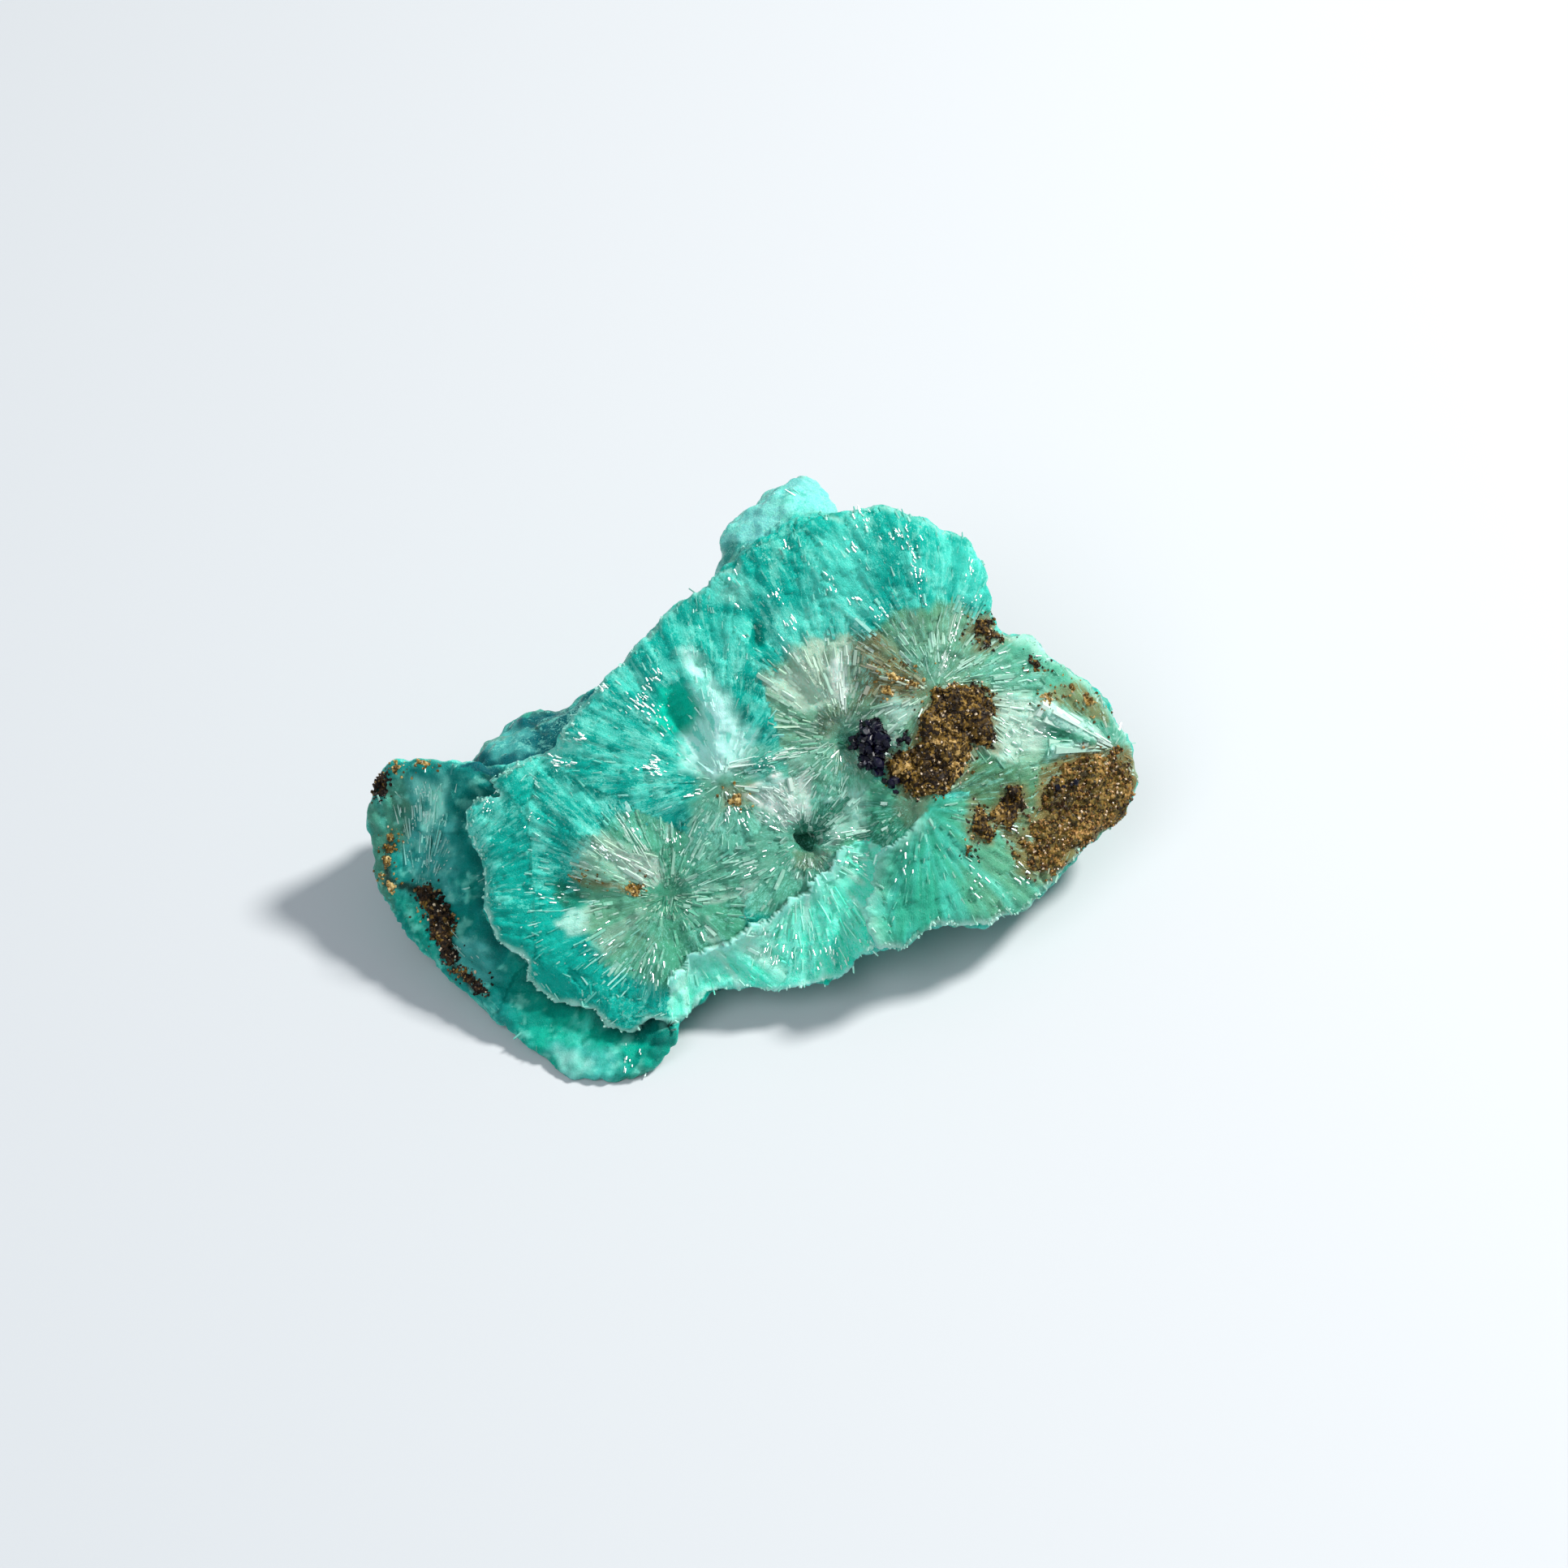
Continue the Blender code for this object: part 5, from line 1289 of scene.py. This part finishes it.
def teeth(ground, skin, colours):
    """Small teeth that stand out of the rim of the face."""
    chance = np.random.default_rng(SEED + 4)
    tilted = ground.normals[:, 2]
    low = np.where((skin.places[:, 1] < 15) | (skin.places[:, 0] < -10), 1.0, 0.25)
    weight = low * (skin.rim < 0.9) * (skin.main > 0.2) * (tilted > 0.15) * (tilted < 0.75)
    picked = chance.choice(len(weight), TEETH, replace=False, p=weight / weight.sum())
    sideways = unit(ground.normals[picked] * (1, 1, 0))
    along = 0.7 * skin.way[picked] + 0.6 * sideways + 0.15 * chance.normal(size=(TEETH, 3))
    along = unit(along)
    up = perpendicular(np.array((0, 0, 1.0)) + 0.3 * chance.normal(size=(TEETH, 3)), along)
    lengths = chance.uniform(0.15, 0.36, TEETH)
    widths = chance.uniform(0.15, 0.4, TEETH)
    heights = chance.uniform(0.10, 0.2, TEETH)
    tapers = chance.uniform(0.2, 0.7, TEETH)
    shades = mixed(colours[picked], linear(PALE), chance.uniform(0.1, 0.7, TEETH))
    starts = ground.points[picked] - 0.12 * along
    return laths("teeth", starts, along, up, lengths, widths, heights, 0.1, tapers, shades)


def glints(ground):
    """Clusters of splinters whose broad sides throw the key light back out of the face."""
    chance = np.random.default_rng(SEED + 2)
    to_light = unit(face_directions([KEY_PLACE])[0])
    shine = unit(to_light + np.array((0, 0, 1.0)))
    rows = []
    for glint_u, glint_v, far, wide, count in GLINTS:
        fan_u, fan_v, _ = min(FANS, key=lambda fan: math.hypot(glint_u - fan[0], glint_v - fan[1]))
        turn = math.atan2(glint_v - fan_v, glint_u - fan_u)
        cos, sin = math.cos(turn), math.sin(turn)
        for _ in range(count):
            ahead = chance.normal() * far * 0.6
            aside = chance.normal() * wide * 0.6
            found = ground.under(
                glint_u + ahead * cos - aside * sin, glint_v + ahead * sin + aside * cos
            )
            if found is None:
                continue
            place = found[0] + found[1] * 0.05
            length = chance.uniform(0.12, 0.6)
            rows.append((place, (cos, sin, 0.0), length, chance.uniform(0.05, 0.13)))
    starts, along, lengths, widths = (np.array(part) for part in zip(*rows))
    count = len(rows)
    up = unit(shine + 0.07 * chance.normal(size=(count, 3)))
    along = perpendicular(along + 0.15 * chance.normal(size=(count, 3)), up)
    tapers = chance.uniform(0.3, 1.0, count)
    return laths("glints", starts, along, up, lengths, widths, np.full(count, 0.12), 0.08, tapers)


# Crusts and crystals.


def closed_sheet(top, bottom, cells):
    """Points and faces of a sheet with a top, a bottom and walls, from the cells of its grid."""
    used = sorted({corner for cell in cells for corner in cell})
    new = {old: k for k, old in enumerate(used)}
    count = len(used)
    faces = [tuple(new[corner] for corner in cell) for cell in cells]
    edges = {(a, b) for face in faces for a, b in zip(face, face[1:] + face[:1])}
    walls = [(b, a, a + count, b + count) for a, b in edges if (b, a) not in edges]
    floor = [tuple(corner + count for corner in face[::-1]) for face in faces]
    return np.concatenate((top[used], bottom[used])), faces + walls + floor, top[used]


def crust_shell(outline, thickness, closed, seed, ground):
    """A granular crust over the stone within a ragged outline, and the places of its top."""
    us, vs = np.array(outline).T
    grid_u = np.arange(us.min() - 0.6, us.max() + 0.6, CRUST_GRID)
    grid_v = np.arange(vs.min() - 0.6, vs.max() + 0.6, CRUST_GRID)
    rows = len(grid_v)
    grid_u, grid_v = (grid.ravel() for grid in np.meshgrid(grid_u, grid_v, indexing="ij"))
    flat = np.column_stack((grid_u, grid_v, np.full(len(grid_u), seed * 9.1)))
    wide, fine = rough(flat, 1.3, 31), rough(flat, 0.5, 32)
    ragged_u, ragged_v = grid_u + 0.5 * wide + 0.25 * fine, grid_v + 0.4 * fine - 0.3 * wide
    gaps = 1.6 * (closed - 1) * (0.55 + 1.1 * rough(flat, 0.9, 33))
    cover = depth_within(outline, ragged_u, ragged_v) + gaps
    index = {}
    top, bottom = [], []
    for k in np.flatnonzero(cover > -0.02):
        found = ground.under(grid_u[k], grid_v[k])
        if found is None or found[1][2] < 0.12:
            continue
        index[k] = len(top)
        rise = thickness * smooth_step(0, 0.9, cover[k]) * (0.75 + 0.5 * wide[k]) - 0.05
        top.append(found[0] + found[1] * rise)
        bottom.append(found[0] - np.array((0, 0, 0.3)))
    top, bottom = np.array(top), np.array(bottom)
    level = top[:, 2] - face_depth(top[:, 0])
    level = np.abs(level - np.median(level)) < CRUST_LEVEL
    grainy = 0.34 * (knobs(top + seed, 0.55) - 0.6) + 0.14 * (knobs(top + 9.0, 0.24) - 0.5)
    top[:, 2] += grainy + 0.5 * thickness * rough(top, 1.1, 34)
    cells = []
    for k in index:
        corners = (k, k + rows, k + rows + 1, k + 1)
        if (k % rows) + 1 < rows and all(c in index and level[index[c]] for c in corners):
            cells.append([index[c] for c in corners])
    return closed_sheet(top, bottom, cells)


def strays(outline, ground, chance, tops):
    """Places of the loose grains that lie round a crust's edge."""
    us, vs = np.array(outline).T
    count = int(14 * (np.ptp(us) + 1.6) * (np.ptp(vs) + 1.6))
    u = chance.uniform(us.min() - 0.8, us.max() + 0.8, count)
    v = chance.uniform(vs.min() - 0.8, vs.max() + 0.8, count)
    near = chance.uniform(size=count) < np.exp(depth_within(outline, u, v) / 0.22)
    near &= ~inside(outline, u, v)
    found = [ground.under(*place) for place in zip(u[near], v[near])]
    found = [place for place, normal in filter(None, found) if normal[2] > 0.2]
    level = np.median(tops[:, 2] - face_depth(tops[:, 0]))
    return [place for place in found if abs(place[2] - face_depth(place[0]) - level) < CRUST_LEVEL]


def grain_cloud(tops, count, chance, first=0):
    """Small irregular crystals sunk half way into a crust, their points numbered from first."""
    ring = [(math.cos(a), math.sin(a)) for a in np.arange(5) * math.tau / 5]
    base = np.array([(0, 0, 1.0)] + [(x, y, 0.15) for x, y in ring] + [(0, 0, -0.8)])
    triangles = [(0, 1 + k, 1 + (k + 1) % 5) for k in range(5)]
    triangles += [(6, 1 + (k + 1) % 5, 1 + k) for k in range(5)]
    points, faces = [], []
    for n in range(count):
        place = tops[chance.integers(len(tops))] + chance.normal(size=3) * (0.05, 0.05, 0.03)
        turn, _ = np.linalg.qr(chance.normal(size=(3, 3)))
        if np.linalg.det(turn) < 0:
            turn[0] *= -1
        size = chance.uniform(*GRAIN_SIZES) / 2
        shape = base * (1 + 0.35 * chance.uniform(-1, 1, size=base.shape)) * size
        points.extend(place + shape @ turn)
        faces.extend(tuple(first + len(base) * n + c for c in triangle) for triangle in triangles)
    return points, faces


def crust_grains(name, outline, tops, ground, chance):
    """The grains on a crust and the loose ones round it."""
    loose = strays(outline, ground, chance, tops)
    points, faces = grain_cloud(tops, int(len(tops) * GRAIN_SHARE), chance)
    if loose:
        more, more_faces = grain_cloud(np.array(loose), len(loose), chance, len(points))
        points.extend(more)
        faces.extend(more_faces)
    return new_mesh(name, points, faces)


def crystal_places(ground, chance):
    """Place, direction and radius of each dark blue crystal."""
    places = []
    for u, v, radius in CRYSTALS:
        clustered = radius > 0.4
        for _ in range(6 if clustered else 2):
            at_u = u + chance.normal() * radius * 0.5
            at_v = v + chance.normal() * radius * 0.5
            found = ground.under(at_u, at_v)
            if found is None:
                continue
            lean = unit(found[1] + 0.5 * chance.normal(size=3))
            size = radius * chance.uniform(0.4, 0.75)
            lift = 0.45 + 0.4 * size if clustered else 0.6
            places.append((found[0] + found[1] * lift, lean, size))
    return places


def blocky_crystals(places, chance):
    """Short six-sided crystals with bevelled ends."""
    rings = [(-0.6, 0.8), (-0.5, 1.0), (0.7, 1.0), (1.0, 0.62)]
    points, faces = [], []
    for place, direction, radius in places:
        start = len(points)
        turn = np.array(Vector(direction).to_track_quat("Z", "Y").to_matrix())
        stretch = chance.uniform(0.7, 1.3, size=3)
        phase = chance.uniform(0, math.tau)
        for height, size in rings:
            for k in range(6):
                angle = phase + math.tau * k / 6
                spread = size * (1 + 0.25 * math.cos(2 * angle + phase))
                local = np.array((math.cos(angle) * spread, math.sin(angle) * spread, height))
                points.append(place + turn @ (local * stretch) * radius)
        for ring in range(len(rings) - 1):
            for k in range(6):
                a, b = start + ring * 6 + k, start + ring * 6 + (k + 1) % 6
                faces.append((a, b, b + 6, a + 6))
        faces.append(tuple(start + k for k in reversed(range(6))))
        faces.append(tuple(start + 18 + k for k in range(6)))
    return new_mesh("crystals", points, faces)


# The setting: floor, lights, camera and world.


def add_floor():
    """A plain pale floor."""
    corners = [(x * FLOOR_HALF, y * FLOOR_HALF, 0) for x, y in ((-1, -1), (1, -1), (1, 1), (-1, 1))]
    mesh = bpy.data.meshes.new("floor")
    mesh.from_pydata(corners, [], [(0, 1, 2, 3)])
    floor = bpy.data.objects.new("floor", mesh)
    bpy.context.collection.objects.link(floor)
    material = bpy.data.materials.new("floor")
    material.use_nodes = True
    shader = material.node_tree.nodes["Principled BSDF"]
    shader.inputs["Base Color"].default_value = (*FLOOR_COLOUR, 1)
    shader.inputs["Roughness"].default_value = 0.7
    mesh.materials.append(material)


def add_light(name, place, size, power, colour):
    """A soft round light that points at the stone."""
    light = bpy.data.lights.new(name, "AREA")
    light.shape = "DISK"
    light.size = size
    light.energy = power
    light.color = colour
    lamp = bpy.data.objects.new(name, light)
    lamp.location = place
    lamp.rotation_euler = (LIGHTS_AIM - Vector(place)).to_track_quat("-Z", "Y").to_euler()
    bpy.context.collection.objects.link(lamp)


def add_camera():
    """The photo's camera, which looks square at the broad face."""
    middle_u = (PHOTO_SIZE / 2 - FOOT_PIXEL[0]) * PIXEL
    middle_v = (FOOT_PIXEL[1] - PHOTO_SIZE / 2) * PIXEL
    camera = bpy.data.cameras.new("camera")
    camera.lens = CAMERA_LENS
    camera.sensor_width = CAMERA_SENSOR
    reach = PHOTO_SIZE * PIXEL * camera.lens / camera.sensor_width
    holder = bpy.data.objects.new("camera", camera)
    holder.location = from_face([(middle_u, middle_v, reach - CAMERA_NEARER)])[0]
    holder.rotation_euler = (FACE_CLIMB, 0, 0)
    bpy.context.collection.objects.link(holder)
    bpy.context.scene.camera = holder


def add_world():
    """A faint even sky light, with colours shown as they are."""
    world = bpy.data.worlds.new("world")
    world.use_nodes = True
    background = world.node_tree.nodes["Background"]
    background.inputs["Color"].default_value = (*SKY_COLOUR, 1)
    background.inputs["Strength"].default_value = SKY_STRENGTH
    bpy.context.scene.world = world
    bpy.context.scene.view_settings.view_transform = "Standard"


def add_stone():
    """The fibrous mass and what grows on it. Returns the ground for the crusts."""
    mass = remeshed(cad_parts["fibrous_mass"].data.copy())
    soften(mass, STONE_SMOOTHINGS)
    split_front(mass)
    skin = Skin(mass)
    moved = from_face(skin.places + skin.outward * relief(skin)[:, None])
    moved[:, 2] = np.maximum(moved[:, 2], 0.0)
    move_vertices(mass, moved)
    colours, frost, flake = tints(skin)
    store_tint(mass, colours)
    store(mass, "fibre", "FLOAT_VECTOR", skin.way * FIBRES_AROUND + (skin.fan * 11.7)[:, None])
    store(mass, "reach", "FLOAT", skin.reach)
    store(mass, "frost", "FLOAT", frost)
    store(mass, "flake", "FLOAT", flake)
    place_piece(mass, "stone", "fibrous_mass", stone_material(), smooth=True)

    ground = Ground(mass)
    glassy = splinter_material()
    pieces = [
        splinters(ground, skin, colours), plates(ground, skin, colours), strands(ground, colours),
        blades(ground), teeth(ground, skin, colours),
    ]
    for mesh in pieces:
        place_piece(mesh, mesh.name, None, glassy)
    place_piece(glints(ground), "glints", None, glint_material())
    return ground


def add_crusts(ground):
    """The brown crusts with their grains, and the dark blue crystals on their bed."""
    shell_looks = {look: crust_material(look + " crust", *CRUST_SHADES[look]) for look in CRUST_SHADES}
    shell_looks["indigo"] = crystal_material()
    grain_looks = {look: grain_material(look + " grains", GRAIN_SHADES[look]) for look in GRAIN_SHADES}
    chance = np.random.default_rng(SEED + 3)
    for seed, (name, node, look, outline, thickness, closed) in enumerate(CRUSTS):
        points, faces, tops = crust_shell(outline, thickness, closed, seed, ground)
        place_piece(new_mesh(name, points, faces), name, node, shell_looks[look])
        if look in grain_looks:
            grains = crust_grains(name + "_grains", outline, tops, ground, chance)
            place_piece(grains, grains.name, node, grain_looks[look])
    crystals = blocky_crystals(crystal_places(ground, chance), chance)
    place_piece(crystals, "crystals", "blue_crystals", shell_looks["indigo"])


add_crusts(add_stone())
add_floor()
for light in LIGHTS:
    add_light(*light)
add_camera()
add_world()
